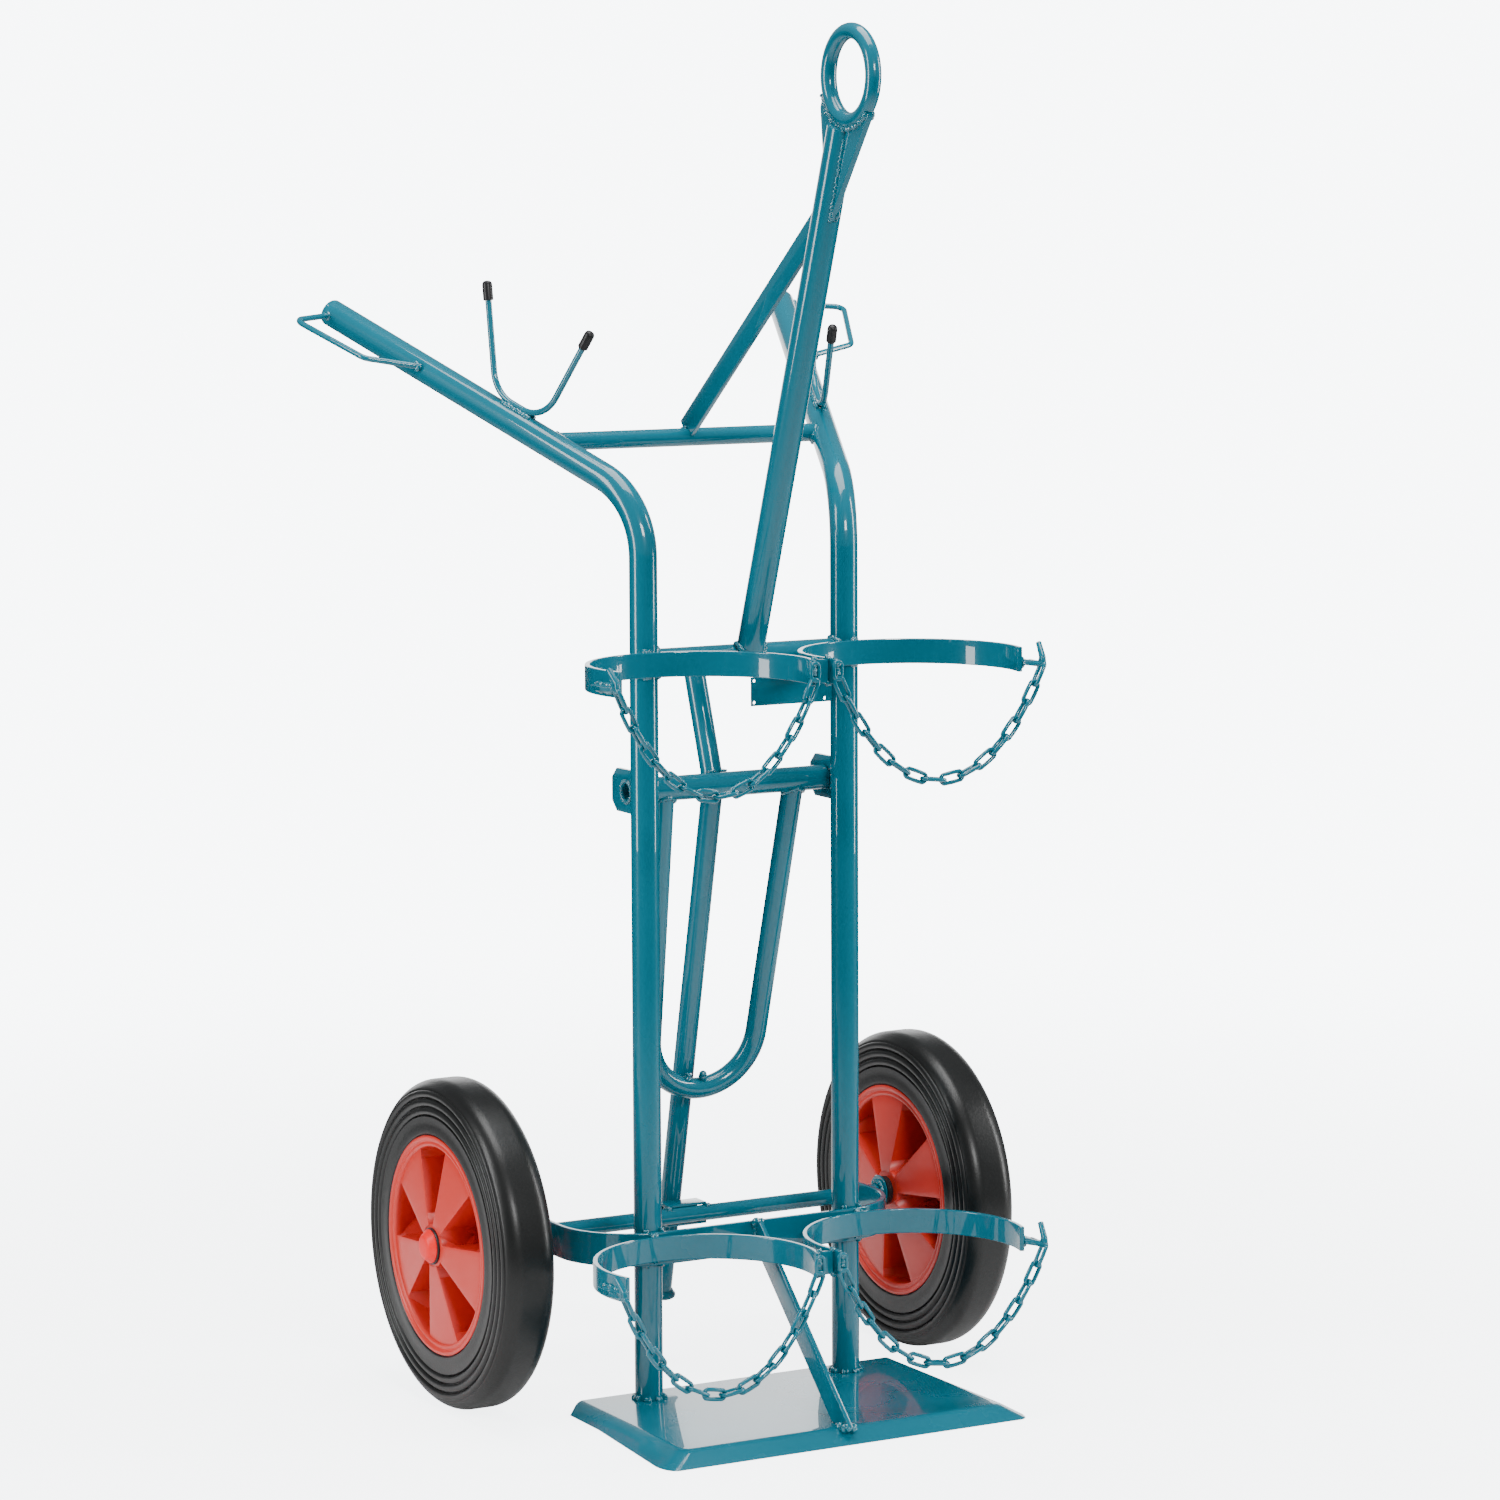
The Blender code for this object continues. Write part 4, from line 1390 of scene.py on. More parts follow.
@dataclass
class Chain:
    """One slack chain: links threaded through each other between an eye and a hook."""

    length: float = 0.392
    wire: float = 0.0026
    half_width: float = 0.0057
    links: int = 16

    def build(self, side: Side, level: Level, cradles: Cradles) -> None:
        """Build one chain.

        Args:
            side: Its side.
            level: Its level.
            cradles: The cradles that it hangs from.
        """
        inner = cradles.eye_centre(side, level) - Vector((0, 0, cradles.eye_half))
        outer = cradles.hook_bend(side, level) + Vector((0, 0.002, 0))
        pitch = self.length / self.links
        half_length = pitch / 2 + self.wire * 0.9
        places = self.route(inner, outer, self.links + 1)
        run = Vector((outer.x - inner.x, outer.y - inner.y, 0)).normalized()
        across = Vector((-run.y, run.x, 0))
        pattern = Link(self.wire, self.half_width, half_length).build("link", Vector((0, 0, 0)))
        pieces = []
        for index, (start, end) in enumerate(zip(places, places[1:])):
            copy = pattern.copy()
            copy.data = pattern.data.copy()
            bpy.context.scene.collection.objects.link(copy)
            up = (end - start).normalized()
            face = across if index % 2 == 0 else up.cross(across)
            turn = Matrix((up.cross(face), -face, up)).transposed().to_4x4()
            if turn.to_3x3().determinant() < 0:
                turn = Matrix((face.cross(up), -face, up)).transposed().to_4x4()
            copy.matrix_world = Matrix.Translation((start + end) / 2) @ turn
            pieces.append(copy)
        bpy.data.objects.remove(pattern, do_unlink=True)
        for piece in pieces:
            settle(piece)
        chain = join(pieces, f"{level.value}_{side.word}_linked_chain")
        body = f"{level.value}_{side.word}_chain"
        dress(chain, PAINT, body, [body])

    def route(self, start: Vector, end: Vector, count: int) -> list[Vector]:
        """Points at equal steps along a chain that hangs between two places.

        Args:
            start: Where it starts.
            end: Where it ends.
            count: How many points.

        Returns:
            The points, both ends included.
        """
        run = Vector((end.x - start.x, end.y - start.y, 0))
        span, rise = run.length, end.z - start.z
        slack = math.sqrt(self.length**2 - rise**2)
        low, high = span / 20, span * 20
        for _ in range(60):
            scale = (low + high) / 2
            longer = 2 * scale * math.sinh(span / (2 * scale)) > slack
            low, high = (scale, high) if longer else (low, scale)
        lowest = span / 2 - scale * math.asinh(rise / (2 * scale * math.sinh(span / (2 * scale))))
        first = scale * math.sinh(-lowest / scale)
        points = []
        for index in range(count):
            x = lowest + scale * math.asinh((first + self.length * index / (count - 1)) / scale)
            drop = scale * (math.cosh((x - lowest) / scale) - math.cosh(lowest / scale))
            points.append(start + run * (x / span) + Vector((0, 0, drop)))
        return points


# ---------------------------------------------------------------- axle, bow and toe plate


@dataclass
class AxleBow:
    """The bow round the back of the lower cradles, the axle in it, its washers and the leg's stop."""

    axle_r: float = 0.010
    axle_y: float = 0.1434
    axle_z: float = 0.200
    axle_half: float = 0.355
    bow_y: float = -0.0213
    bow_x: float = 0.217
    bend_r: float = 0.092
    rear: float = 0.160
    middle_z: float = 0.204
    height: float = 0.040
    thickness: float = 0.006

    def build(self, tubes: TubeFrame, beads: WeldBeads) -> None:
        """Build the bow with the axle, washers and stop.

        Args:
            tubes: The uprights behind the bow.
            beads: The frame's weld beads.
        """
        z = self.middle_z
        corners = [at(-self.bow_x, self.rear, z), at(-self.bow_x, self.bow_y, z)]
        corners += [at(self.bow_x, self.bow_y, z), at(self.bow_x, self.rear, z)]
        section = Flat(self.thickness - 0.0002, self.height)
        bow = bent_bar("axle_bow_finished", section, corners, self.bend_r, 3.0)
        round_edges(bow, 0.0012, 3, 50)
        ends = [at(-self.axle_half, self.axle_y, self.axle_z), at(self.axle_half, self.axle_y, self.axle_z)]
        cut_away(bow, rod_cutter(*ends, self.axle_r + GAP))
        dress(bow, PAINT, "frame", ["axle_bow"])
        axle = bent_bar("axle_finished", Round(self.axle_r - 0.0001, 40), ends)
        round_edges(axle, 0.0008)
        dress(axle, PAINT, "frame", ["axle"])
        for side in Side:
            self.build_washer(side, beads)
            for hand in (-1, 1):
                for end in (-1, 1):
                    x = side.value * tubes.upright_x + hand * 0.0075
                    spot = at(x, self.bow_y + 0.0045, z + end * self.height / 2)
                    beads.run([spot, spot + Vector((hand * 0.0045, 0.0035, 0))], 0.0029)
                x = side.value * tubes.upright_x + hand * 0.0095
                low = at(x, self.bow_y + 0.0045, z - self.height / 2)
                beads.run([low, low + UP * self.height], 0.0019)
        stop = softened("leg_stop", 0.0008)
        dress(stop, PAINT, "frame", ["leg_stop"])
        top = self.axle_z + self.axle_r * 0.78
        for hand in (-1, 1):
            corner = at(-0.006 + hand * 0.027, self.axle_y + 0.0075, top)
            beads.run([corner, corner - Vector((0, 0.013, -0.0022))], 0.0024)

    def build_washer(self, side: Side, beads: WeldBeads) -> None:
        """Build one washer with the rough weld that holds it.

        Args:
            side: The side of the trolley.
            beads: The weld beads of the body.
        """
        bore, outer = self.axle_r + 0.0004, 0.0205
        profile = [(bore, -0.0015), (outer - 0.0008, -0.0015), (outer, -0.0008), (outer, -0.0001)]
        profile += [(outer - 0.0014, 0.0004), (0.0150, 0.0020), (bore, 0.0020), (bore, -0.0015)]
        place = at(side.value * 0.2690, self.axle_y, self.axle_z)
        washer = turned(f"{side.word}_washer", profile, place, Vector((side.value, 0, 0)), 40)
        dress(washer, PAINT, "frame", [f"{side.word}_axle_washer"])
        ring = []
        for i in range(30):
            angle = math.tau * i / 30
            offset = Vector((0, math.cos(angle), math.sin(angle))) * (self.axle_r + 0.0022)
            ring.append(place - Vector((side.value * 0.0022, 0, 0)) + offset)
        beads.run(ring, 0.0028, closed=True)


@dataclass
class ToePlate:
    """The folded sheet that the bottles stand on, and its brace."""

    top: float = 0.017
    sheet: float = 0.004
    back: float = 0.031
    fold_x: float = 0.217
    fold_y: float = -0.236
    edge_back_x: float = 0.228
    edge_x: float = 0.248
    edge_y: float = -0.256
    corner_r: float = 0.015

    def build(self, beads: WeldBeads) -> None:
        """Build the plate and the brace, with its welds.

        Args:
            beads: The weld beads of the body.
        """
        clear_selection()
        bpy.ops.mesh.primitive_plane_add(size=1.0)
        plate = bpy.context.object
        plate.name = "toe_plate_finished"
        size = Matrix.Diagonal((self.fold_x * 2, self.back - self.fold_y, 1, 1))
        plate.matrix_world = Matrix.Translation(at(0, (self.back + self.fold_y) / 2, self.top)) @ size
        settle(plate)
        self.shape(plate)
        folds = {"width": 0.0065, "segments": 6, "limit_method": "ANGLE", "angle_limit": math.radians(25)}
        apply_modifier(plate, "BEVEL", **folds)
        apply_modifier(plate, "SOLIDIFY", thickness=self.sheet, offset=-1.0, use_even_offset=True)
        clear_selection()
        bpy.ops.mesh.primitive_cube_add(size=1.0, location=at(0, -0.1, -0.025), scale=(0.8, 0.6, 0.05))
        floor = bpy.context.object
        settle(floor)
        cut_away(plate, floor)
        round_edges(plate, 0.0007, 2, 50)
        dress(plate, PAINT, "frame", ["toe_plate"])
        brace = softened("toe_brace", 0.0009)
        dress(brace, PAINT, "frame", ["toe_brace"])
        for x in (-0.0036, 0.0036):
            foot = at(x, -0.2520, self.top + 0.0008)
            beads.run([foot, foot + Vector((0, 0.030, 0))], 0.0024)
            high = at(x, -0.0246, 0.222)
            beads.run([high, high - Vector((0, 0, 0.036))], 0.0022)
            beads.blob(at(x, -0.0262, 0.2222), Vector((0, 1, 0)), 0.004, 0.0040)
            beads.blob(at(x * 1.6, -0.2390, self.top + 0.0010), Vector((0, 1, 0)), 0.014, 0.0036)

    def shape(self, plate: bpy.types.Object) -> None:
        """Round the front corners and fold the front and both sides down.

        Args:
            plate: The flat sheet.
        """
        shape = bmesh.new()
        shape.from_mesh(plate.data)
        fronts = [v for v in shape.verts if v.co.y < 0 and v.co.y < at(0, self.fold_y + 0.01, 0).y]
        bmesh.ops.bevel(shape, geom=fronts, offset=self.corner_r, segments=8, profile=0.5, affect="VERTICES")
        rear = at(0, self.back, 0).y
        edges = [e for e in shape.edges if not all(abs(v.co.y - rear) < 1e-6 for v in e.verts)]
        made = bmesh.ops.extrude_edge_only(shape, edges=edges)
        under = 0.006
        share = 1 + under / self.top
        depth = rear - at(0, self.fold_y, 0).y
        for vertex in [g for g in made["geom"] if isinstance(g, bmesh.types.BMVert)]:
            forward = (rear - vertex.co.y) / depth
            spread = (self.edge_back_x - self.fold_x) + (self.edge_x - self.edge_back_x) * forward
            vertex.co.x *= 1 + spread * share / self.fold_x
            vertex.co.y += (self.edge_y - self.fold_y) * share * max(0.0, (forward - 0.93) / 0.07)
            vertex.co.z = -under
        bmesh.ops.recalc_face_normals(shape, faces=shape.faces)
        if max(shape.faces, key=lambda face: face.calc_area()).normal.z < 0:
            bmesh.ops.reverse_faces(shape, faces=shape.faces)
        shape.to_mesh(plate.data)
        shape.free()


# ---------------------------------------------------------------- wheels


@dataclass
class Wheel:
    """One wheel: a solid tyre, a moulded rim with ten sectors, a bush and a hub cap."""

    x: float = 0.317
    y: float = 0.1434
    z: float = 0.200
    tyre_r: float = 0.1999
    crown_r: float = 0.023
    seat_r: float = 0.122
    web_r: float = 0.119
    hub_r: float = 0.027
    sectors: int = 10

    def build(self, side: Side) -> None:
        """Build one wheel.

        Args:
            side: Its side.
        """
        centre = at(side.value * self.x, self.y, self.z)
        out = Vector((side.value, 0, 0))
        body = f"{side.word}_wheel"
        tyre = turned(f"{side.word}_tyre_finished", self.tyre_profile(), centre, out, 128)
        dress(tyre, TYRE_RUBBER, body, [f"{side.word}_tyre"])
        lips = turned(f"{side.word}_rim_lips", self.lip_profile(), centre, out, 128)
        web = self.build_web(side, centre)
        hub = turned(f"{side.word}_rim_hub", self.hub_profile(), centre, out, 64)
        rim = join([lips, web, hub], f"{side.word}_rim_finished")
        shade(rim, 32)
        dress(rim, RIM_PLASTIC, body, [f"{side.word}_rim"])
        bush = turned(f"{side.word}_bush", self.bush_profile(), centre, out, 48)
        dress(bush, BUSH_PLASTIC, body, [f"{side.word}_hub_bush"])
        cap = turned(f"{side.word}_cap", self.cap_profile(), centre, out, 64)
        dress(cap, CAP_PLASTIC, body, [f"{side.word}_hub_cap"])

    def tyre_profile(self) -> list[tuple]:
        """Half of the tyre's section mirrored, closed on itself.

        Returns:
            Pairs of radius and distance along the axis.
        """
        crown = []
        for i in range(13):
            angle = math.radians(58 * i / 12)
            radius = self.tyre_r - self.crown_r * (1 - math.cos(angle))
            crown.append((radius, 0.0118 + self.crown_r * math.sin(angle)))
        wall = []
        for base, level in ((0.1830, 0.0326), (0.1725, 0.0327), (0.1620, 0.0326)):
            for i in range(9):
                angle = math.pi * i / 8
                wall.append((base + 0.0044 * math.cos(angle), level - 0.0012 + 0.0026 * math.sin(angle)))
            wall.append((base - 0.0052, level - 0.0019))
        wall += [(0.1555, 0.0335), (0.1500, 0.0331), (0.1440, 0.0330), (0.1385, 0.0338), (0.1352, 0.0335)]
        wall += [(0.1337, 0.0318), (0.1337, 0.0300), (self.seat_r + 0.0006, 0.0297)]
        half = crown + wall
        return half + [(r, -h) for r, h in reversed(half)] + [half[0]]

    def lip_profile(self) -> list[tuple]:
        """The rim's barrel with a double outer lip at both sides.

        Returns:
            Pairs of radius and distance along the axis.
        """
        out = [(self.seat_r, 0.0290), (0.1302, 0.0299), (0.1322, 0.0306), (0.1330, 0.0320), (0.1324, 0.0331)]
        out += [(0.1308, 0.0335), (0.1288, 0.0333), (0.1276, 0.0326), (0.1266, 0.0312), (0.1254, 0.0308)]
        out += [(0.1240, 0.0314), (0.1228, 0.0318), (0.1212, 0.0315), (0.1198, 0.0304)]
        out += [(0.1190, 0.0285), (0.1180, 0.0200)]
        return out + [(r, -h) for r, h in reversed(out)] + [out[0]]

    def hub_profile(self) -> list[tuple]:
        """The boss round the bush.

        Returns:
            Pairs of radius and distance along the axis.
        """
        bore = 0.0152
        half = [(bore, 0.0372), (0.0240, 0.0372), (0.0262, 0.0366), (0.0270, 0.0345), (0.0285, 0.0100)]
        return half + [(r, -h) for r, h in reversed(half)] + [half[0]]

    def bush_profile(self) -> list[tuple]:
        """The bush with its flange towards the middle of the trolley.

        Returns:
            Pairs of radius and distance along the axis.
        """
        inner, r = 0.0103, 0.0150
        out = [(r, 0.0402), (0.0218, 0.0402), (0.0224, 0.0396), (0.0224, 0.0374), (r, 0.0374), (r, -0.0386)]
        out += [(0.0183, -0.0386), (0.0185, -0.0408), (0.0185, -0.0443), (0.0179, -0.0450)]
        return out + [(inner, -0.0450), (inner, 0.0402), (r, 0.0402)]

    def cap_profile(self) -> list[tuple]:
        """The red cap, its side sloped and its top nearly flat.

        Returns:
            Pairs of radius and distance along the axis.
        """
        out = [(0, 0.0498), (0.0090, 0.0497), (0.0122, 0.0494), (0.0140, 0.0486), (0.0155, 0.0472)]
        return out + [(0.0192, 0.0430), (0.0203, 0.0418), (0.0207, 0.0410), (0.0205, 0.0403), (0, 0.0403)]

    def build_web(self, side: Side, centre: Vector) -> bpy.types.Object:
        """Build the web: ten sectors, turn about raised and recessed, each a dished wedge.

        Args:
            side: The wheel's side.
            centre: The wheel's middle.

        Returns:
            The web's solid.
        """
        clear_selection()
        bpy.ops.mesh.primitive_circle_add(vertices=120, radius=self.web_r, fill_type="NOTHING")
        web = bpy.context.object
        web.name = f"{side.word}_rim_web"
        settle(web)
        edit(web)
        rings = (self.web_r, 0.108, 0.070, 0.040, 0.0265)
        for outer, inner in zip(rings, rings[1:]):
            scale = inner / outer
            bpy.ops.mesh.extrude_edges_move()
            bpy.ops.transform.resize(value=(scale, scale, 1), center_override=(0, 0, 0))
        bpy.ops.object.mode_set(mode="OBJECT")
        shape = bmesh.new()
        shape.from_mesh(web.data)
        width = math.tau / self.sectors
        first = math.radians(90 - 6 * side.value) - width / 2

        def sector(point: Vector) -> int:
            """The number of the sector that holds a point.

            Args:
                point: The point in the wheel's plane.

            Returns:
                The number, from 0.
            """
            return int(((math.atan2(point.y, point.x) - first) % math.tau) // width)

        raised = [face for face in shape.faces if sector(face.calc_center_median()) % 2 == 1]
        sunk = [face for face in shape.faces if sector(face.calc_center_median()) % 2 == 0]
        self.step(shape, raised, 1)
        self.step(shape, sunk, -1)
        bmesh.ops.recalc_face_normals(shape, faces=shape.faces)
        shape.to_mesh(web.data)
        shape.free()
        apply_modifier(web, "SOLIDIFY", thickness=0.0036, offset=0.0, use_even_offset=True)
        limit = {"limit_method": "ANGLE", "angle_limit": math.radians(40)}
        apply_modifier(web, "BEVEL", width=0.0016, segments=3, **limit)
        turn = Vector((side.value, 0, 0)).to_track_quat("Z", "Y").to_matrix().to_4x4()
        spin = self.upright_turn(turn)
        web.matrix_world = Matrix.Translation(centre) @ turn @ spin
        settle(web)
        return web

    def upright_turn(self, turn: Matrix) -> Matrix:
        """The turn about the wheel's axis that brings the pattern's Y to the top.

        Args:
            turn: The turn that lays the wheel on its axis.

        Returns:
            The turn as a matrix.
        """
        top = turn.to_3x3().inverted() @ Vector((0, 0, 1))
        return Matrix.Rotation(math.atan2(top.y, top.x) - math.pi / 2, 4, "Z")

    def step(self, shape: bmesh.types.BMesh, faces: list, way: int) -> None:
        """Move sectors along the axis on walls, further at the hub than at the lip.

        Args:
            shape: The web.
            faces: The sectors' faces.
            way: 1 towards the outer side, -1 towards the inner one.
        """
        made = bmesh.ops.extrude_face_region(shape, geom=faces)
        moved = [g for g in made["geom"] if isinstance(g, bmesh.types.BMVert)]
        bmesh.ops.delete(shape, geom=[f for f in faces if f.is_valid], context="FACES")
        for vertex in moved:
            reach = (self.web_r - vertex.co.xy.length) / (self.web_r - self.hub_r)
            vertex.co.z += way * (0.0275 + 0.0085 * reach)


# ---------------------------------------------------------------- support leg and small plates


@dataclass
class SupportLeg:
    """The swinging leg on its pivot: sleeve, round-bottomed loop, bent leg tube and foot."""

    pivot_y: float = 0.041
    pivot_z: float = 0.748
    sleeve_r: float = 0.015
    sleeve_half: float = 0.131
    bore_r: float = 0.0128
    tube_r: float = 0.013
    x: float = -0.008
    corner: float = 0.0263
    bend_r: float = 0.060
    arm_slope: float = 0.350
    arm_rise: float = 0.143
    slope: float = 0.2186
    drop: float = 0.663
    loop_top: float = 0.089
    loop_r: float = 0.0735
    loop_drop: float = 0.3215
    taper: float = math.radians(2.74)
    lean: float = math.radians(12.15)

    def place(self, x: float, back: float, down: float) -> Vector:
        """A point by its distances from the pivot.

        Args:
            x: Distance to the right.
            back: Distance behind the pivot.
            down: Distance below the pivot.

        Returns:
            The point.
        """
        return at(x, self.pivot_y + back, self.pivot_z - down)

    def build(self, beads: WeldBeads) -> None:
        """Build the whole leg.

        Args:
            beads: The leg's weld beads.
        """
        self.build_sleeve()
        self.build_loop(beads)
        self.build_tube(beads)

    def build_sleeve(self) -> None:
        """Build the sleeve that turns on the pivot tube."""
        r, bore, half = self.sleeve_r - 0.0001, self.bore_r, self.sleeve_half
        end = [(bore, half), (r - 0.0004, half), (r, half - 0.0005)]
        profile = end + [(radius, -reach) for radius, reach in reversed(end)] + [end[0]]
        sleeve = turned("leg_sleeve_finished", profile, self.place(0, 0, 0), Vector((1, 0, 0)), 48)
        dress(sleeve, PAINT, "support_leg", ["leg_sleeve"])

    def build_loop(self, beads: WeldBeads) -> None:
        """Build the loop: a straight side, spun round its bottom, and the other side.

        Args:
            beads: The weld beads of the body.
        """
        away = Vector((0, math.sin(self.lean), -math.cos(self.lean)))
        centre = self.place(0, 0, 0) + away * self.loop_drop
        reach = Vector((math.cos(self.taper), 0, 0)) + away * math.sin(self.taper)
        right = centre + reach * self.loop_r
        left = Vector((-right.x, right.y, right.z))
        tops = [self.place(x, 0, 0) for x in (-self.loop_top, self.loop_top)]
        inside = self.sleeve_r * 0.7
        tops = [top + (end - top).normalized() * inside for top, end in zip(tops, (left, right))]
        loop = Round(self.tube_r, 40).draw("leg_loop_finished", tops[0], left - tops[0])
        edit(loop)
        bpy.ops.mesh.extrude_region_move(TRANSFORM_OT_translate={"value": left - tops[0]})
        sweep = math.pi - 2 * self.taper
        axis = away.cross(RIGHT).normalized()
        bpy.ops.mesh.spin(steps=44, angle=-sweep, center=centre, axis=axis)
        bpy.ops.mesh.extrude_region_move(TRANSFORM_OT_translate={"value": tops[1] - right})
        tidy_faces(loop)
        dress(loop, PAINT, "support_leg", ["leg_loop"])
        for top, end in zip(tops, (left, right)):
            branch = (end - top).normalized()
            root = top - branch * inside
            beads.run(saddle(root, branch, self.tube_r, RIGHT, self.sleeve_r), 0.0026, closed=True)

    def build_tube(self, beads: WeldBeads) -> None:
        """Build the bent leg tube, its foot and its welds.

        Args:
            beads: The weld beads of the body.
        """
        top = self.place(self.x, self.corner + self.arm_slope * self.arm_rise, -self.arm_rise)
        corner = self.place(self.x, self.corner, 0)
        foot = self.place(self.x, self.corner + self.slope * self.drop, self.drop)
        down = (foot - corner).normalized()
        corners = [top, corner, foot - down * 0.0085]
        bar = bent_bar("leg_tube_finished", Round(self.tube_r, 40), corners, self.bend_r, 2.0)
        up = (top - corner).normalized()
        cut_away(bar, rod_cutter(top - up * 0.020, top + up * 0.010, self.tube_r - 0.002))
        dress(bar, PAINT, "support_leg", ["leg_tube"])
        profile = [(0, 0.009), (0.0140, 0.009), (0.0150, 0.0084), (0.0156, 0.0070), (0.0165, 0.0052)]
        profile += [(0.0183, 0.0040), (0.0185, 0.0028), (0.0183, 0.0010), (0.0172, 0.0), (0, 0)]
        flange = turned("leg_foot_finished", profile, foot, -down, 48)
        dress(flange, PAINT, "support_leg", ["leg_foot"])
        for x in (-1, 1):
            side = Vector((x * 0.0085, 0.0135, 0))
            middle = self.place(self.x, 0, 0) + side
            beads.run([middle + Vector((0, 0.0012, 0.016)), middle - Vector((0, 0, 0.014))], 0.0036)
        for x in (-1, 1):
            low = self.place(self.x + x * 0.0095, 0.0735, self.loop_drop + self.loop_r - 0.030)
            beads.run([low, low + Vector((x * 0.0035, 0.006, -0.014))], 0.0036)


@dataclass
class Pivot:
    """The two plates behind the uprights, the pivot tube through them, and the name plate."""

    upright_x: float = 0.1365
    pivot_y: float = 0.041
    pivot_z: float = 0.748
    pivot_r: float = 0.0125
    wall: float = 0.0025

    def build(self, tubes: TubeFrame, beads: WeldBeads) -> None:
        """Build the plates and the tube.

        Args:
            tubes: The uprights.
            beads: The frame's weld beads.
        """
        r, half = self.pivot_r - 0.0001, self.upright_x + 0.0034
        end = [(r - self.wall, half), (r - 0.0005, half), (r, half - 0.0006)]
        profile = end + [(radius, -reach) for radius, reach in reversed(end)] + [end[0]]
        tube = turned("pivot_tube_finished", profile, at(0, self.pivot_y, self.pivot_z), RIGHT, 48)
        dress(tube, PAINT, "frame", ["pivot_tube"])
        for side in Side:
            plate = softened(f"{side.word}_pivot_plate", 0.0008)
            dress(plate, PAINT, "frame", [f"{side.word}_pivot_plate"])
            centre = at(side.value * half, self.pivot_y, self.pivot_z)
            turns = [math.tau * i / 36 for i in range(36)]
            ring = [centre + Vector((0, math.cos(t), math.sin(t))) * (r + 0.0006) for t in turns]
            beads.run(ring, 0.0018, closed=True)
            for hand in (-0.0036, 0.0036):
                low = at(side.value * self.upright_x + hand, tubes.tube_r - 0.0002, 0.7225)
                beads.run([low, low + Vector((0, 0, 0.051))], 0.0024)
        name = softened("name_plate", 0.0004)
        dress(name, PAINT, "frame", ["name_plate"])


# ---------------------------------------------------------------- light and camera


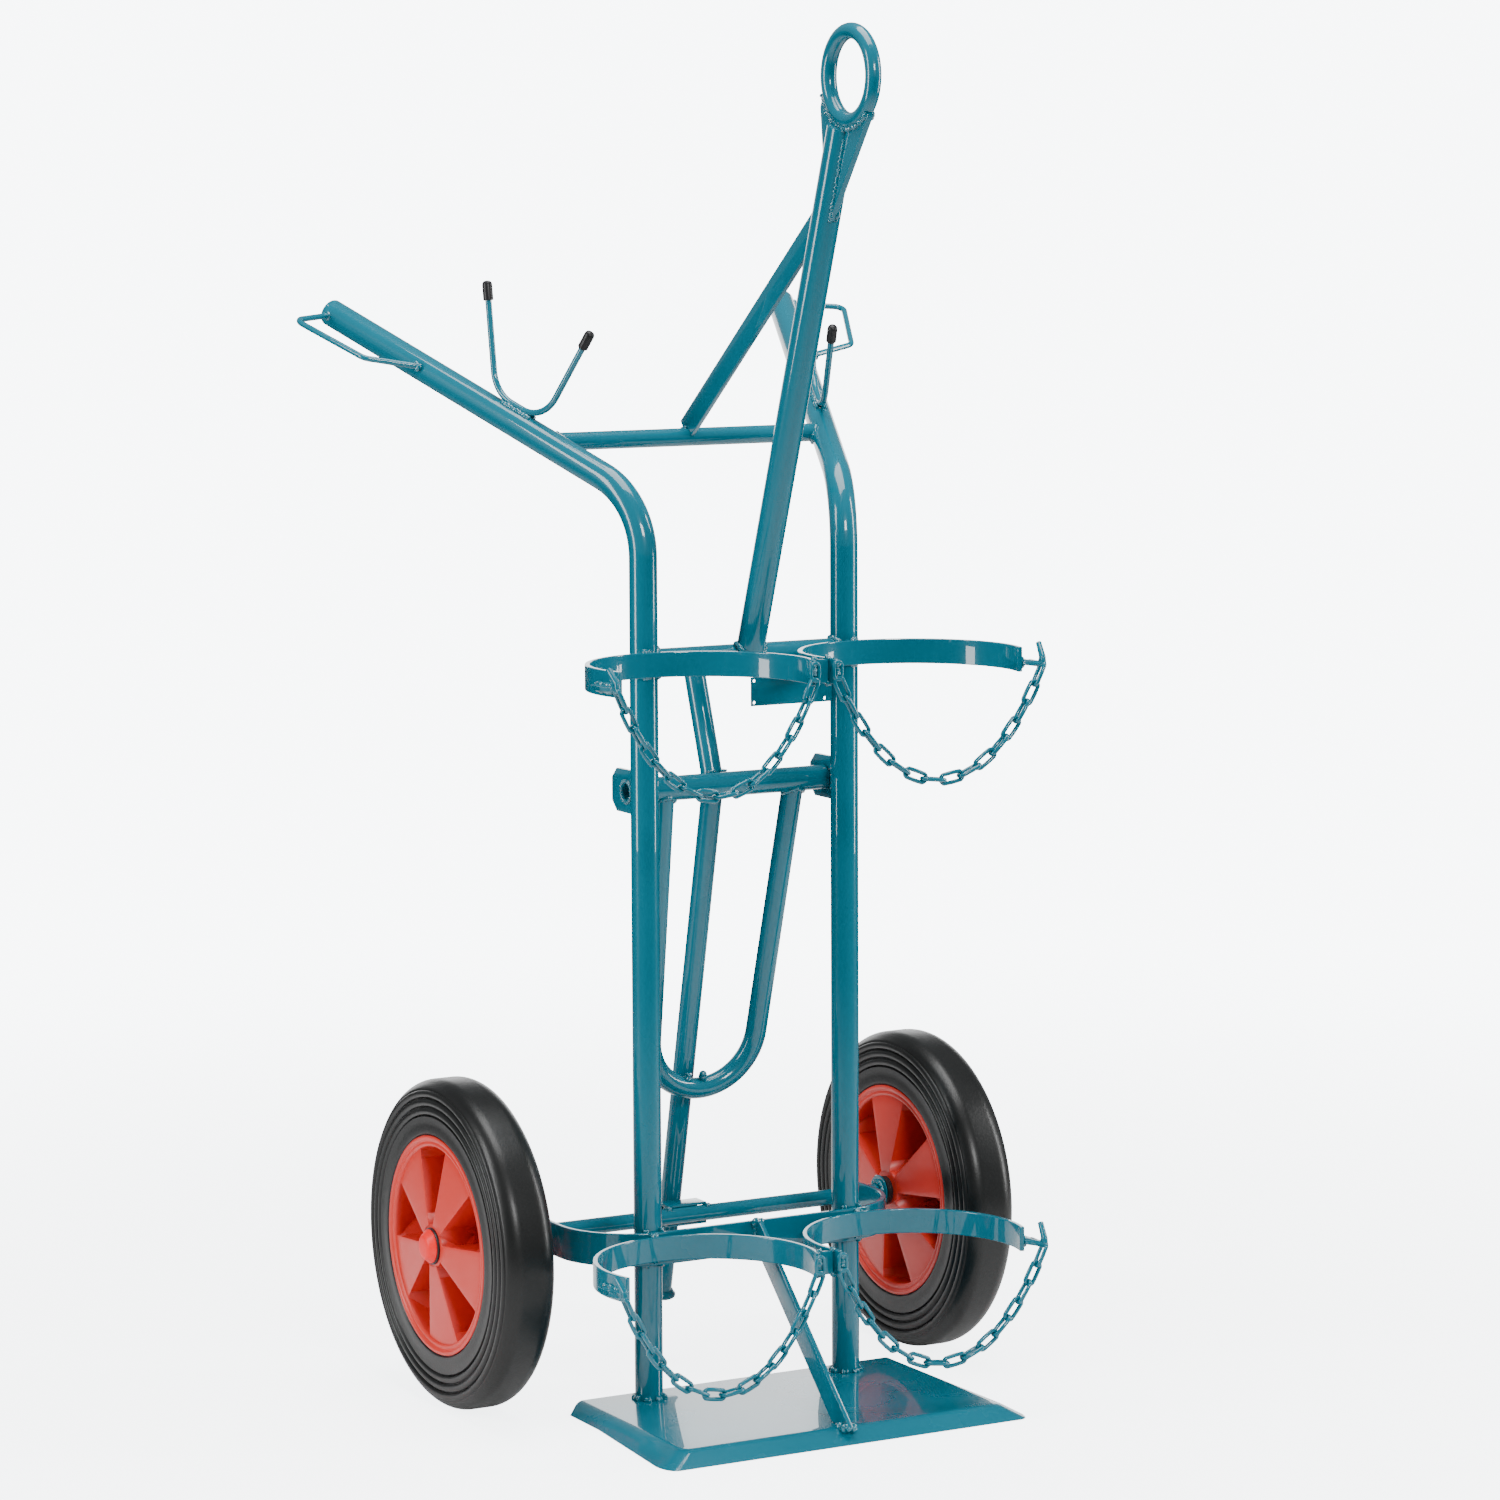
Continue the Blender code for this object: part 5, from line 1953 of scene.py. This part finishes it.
@dataclass
class Studio:
    """A pale sweep, large soft lamps and the camera."""

    place: tuple = (-2.8438, -5.2492, 1.5223)
    heading: float = math.radians(28.90)
    pitch: float = math.radians(7.05)
    roll: float = math.radians(0.27)
    lens: float = 119.10
    fill: float = 0.28
    sky: tuple = (0.93, 0.97, 1.0, 1)
    backdrop: float = 8.6
    # Painted shade: the floor's weaker glow to the camera near the trolley, against the backdrop's glow far
    # out.
    painted_shade_glow: float = 4.6
    paper: float = 0.90
    near: float = 0.5
    far: float = 3.5

    def build(self) -> None:
        """Set up the stage, the light and the camera."""
        self.build_floor()
        self.build_world()
        self.lamp("left_panel", (-3.0, 0.2, 1.5), (0, 0, 0.8), (0.7, 2.6), 90)
        self.lamp("front_panel", (-0.6, -4.6, 2.9), (0, 0, 0.7), (1.3, 1.0), 130)
        self.lamp("right_panel", (2.7, -1.3, 1.5), (0, 0, 0.8), (0.4, 2.6), 75)
        self.lamp("top_panel", (0.0, -0.2, 3.6), (0, 0, 0), (2.0, 2.0), 120)
        self.lamp("rear_panel", (3.6, 8.0, 1.7), (0, 0, 0.5), (9.0, 3.3), 270)
        self.build_camera()

    def build_floor(self) -> None:
        """Lay the pale floor, its glow to the camera dimmed near the middle as painted shade round the
        trolley.
        """
        clear_selection()
        bpy.ops.mesh.primitive_plane_add(size=60, location=(0, 0, -0.0005))
        floor = bpy.context.object
        floor.name = "studio_floor"
        paper = bpy.data.materials.new("studio_paper")
        paper.use_nodes = True
        shader = paper.node_tree.nodes["Principled BSDF"]
        shader.inputs["Roughness"].default_value = 0.9
        shader.inputs["Specular IOR Level"].default_value = 0.0
        nodes, link = paper.node_tree.nodes, paper.node_tree.links.new
        path = nodes.new("ShaderNodeLightPath")
        place = nodes.new("ShaderNodeTexCoord")
        reach = nodes.new("ShaderNodeVectorMath")
        reach.operation = "LENGTH"
        link(place.outputs["Object"], reach.inputs[0])
        # Painted shade: the floor glows less near the middle, standing in for the trolley's shade on it.
        spread = self.fading(nodes, self.painted_shade_glow, self.backdrop)
        link(reach.outputs["Value"], spread.inputs["Value"])
        pale = self.fading(nodes, self.paper, 0.0)
        link(reach.outputs["Value"], pale.inputs["Value"])
        link(pale.outputs["Result"], shader.inputs["Base Color"])
        amount = nodes.new("ShaderNodeMapRange")
        link(path.outputs["Is Camera Ray"], amount.inputs["Value"])
        link(spread.outputs["Result"], amount.inputs["To Max"])
        link(amount.outputs["Result"], shader.inputs["Emission Strength"])
        shader.inputs["Emission Color"].default_value = self.sky
        floor.data.materials.append(paper)
        settle(floor)

    def fading(self, nodes: bpy.types.Nodes, near: float, far: float) -> bpy.types.Node:
        """A node that goes softly from one value to another with the distance from the middle.

        Args:
            nodes: The nodes of the material.
            near: The value at the middle.
            far: The value far out.

        Returns:
            The node.
        """
        fade = nodes.new("ShaderNodeMapRange")
        fade.interpolation_type = "SMOOTHSTEP"
        fade.inputs["From Min"].default_value = self.near
        fade.inputs["From Max"].default_value = self.far
        fade.inputs["To Min"].default_value = near
        fade.inputs["To Max"].default_value = far
        return fade

    def build_world(self) -> None:
        """Light everything from a near-white sky."""
        world = bpy.data.worlds.new("studio")
        bpy.context.scene.world = world
        world.use_nodes = True
        nodes, link = world.node_tree.nodes, world.node_tree.links.new
        sky = nodes["Background"]
        sky.inputs["Color"].default_value = self.sky
        path = nodes.new("ShaderNodeLightPath")
        amount = nodes.new("ShaderNodeMapRange")
        amount.inputs["To Min"].default_value = self.fill
        amount.inputs["To Max"].default_value = self.backdrop
        link(path.outputs["Is Camera Ray"], amount.inputs["Value"])
        link(amount.outputs["Result"], sky.inputs["Strength"])

    def lamp(self, name: str, place: tuple, target: tuple, size: tuple, power: float) -> None:
        """Hang one soft panel.

        Args:
            name: Its name.
            place: Where it hangs.
            target: What it faces.
            size: Its width and height.
            power: Its power in watts.
        """
        clear_selection()
        bpy.ops.object.light_add(type="AREA", location=place)
        panel = bpy.context.object
        panel.name = name
        panel.data.shape = "RECTANGLE"
        panel.data.size, panel.data.size_y = size
        panel.data.energy = power
        aim = Vector(target) - Vector(place)
        panel.rotation_euler = aim.to_track_quat("-Z", "Y").to_euler()
        panel.visible_camera = False

    def build_camera(self) -> None:
        """Place the camera."""
        cos, sin = math.cos(self.pitch), math.sin(self.pitch)
        forward = Vector((math.sin(self.heading) * cos, math.cos(self.heading) * cos, -sin))
        right = forward.cross(UP).normalized()
        up = right.cross(forward)
        tilted = up * math.cos(self.roll) + right * math.sin(self.roll)
        side = forward.cross(tilted)
        camera = bpy.data.objects.new("camera", bpy.data.cameras.new("camera"))
        bpy.context.scene.collection.objects.link(camera)
        turn = Matrix((side, tilted, -forward)).transposed().to_4x4()
        camera.matrix_world = Matrix.Translation(self.place) @ turn
        camera.data.lens = self.lens
        camera.data.sensor_width = 36.0
        camera.data.clip_end = 200.0
        camera.data.dof.use_dof = False
        bpy.context.scene.camera = camera


def main() -> None:
    """Build the visual model piece by piece and log what is made."""
    logging.basicConfig(level=logging.INFO, format="%(message)s", force=True)
    tubes = TubeFrame()
    beads = WeldBeads("frame")
    tubes.build(beads)
    Mast().build(tubes, beads)
    HandleRods().build(tubes, beads)
    cradles = Cradles()
    cradles.build(beads)
    for level in Level:
        for side in Side:
            Chain().build(side, level, cradles)
    AxleBow().build(tubes, beads)
    ToePlate().build(beads)
    Pivot().build(tubes, beads)
    beads.finish()
    leg_beads = WeldBeads("support_leg")
    SupportLeg().build(leg_beads)
    leg_beads.finish()
    for side in Side:
        Wheel().build(side)
    Studio().build()
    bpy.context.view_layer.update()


if __name__ == "__main__":
    main()
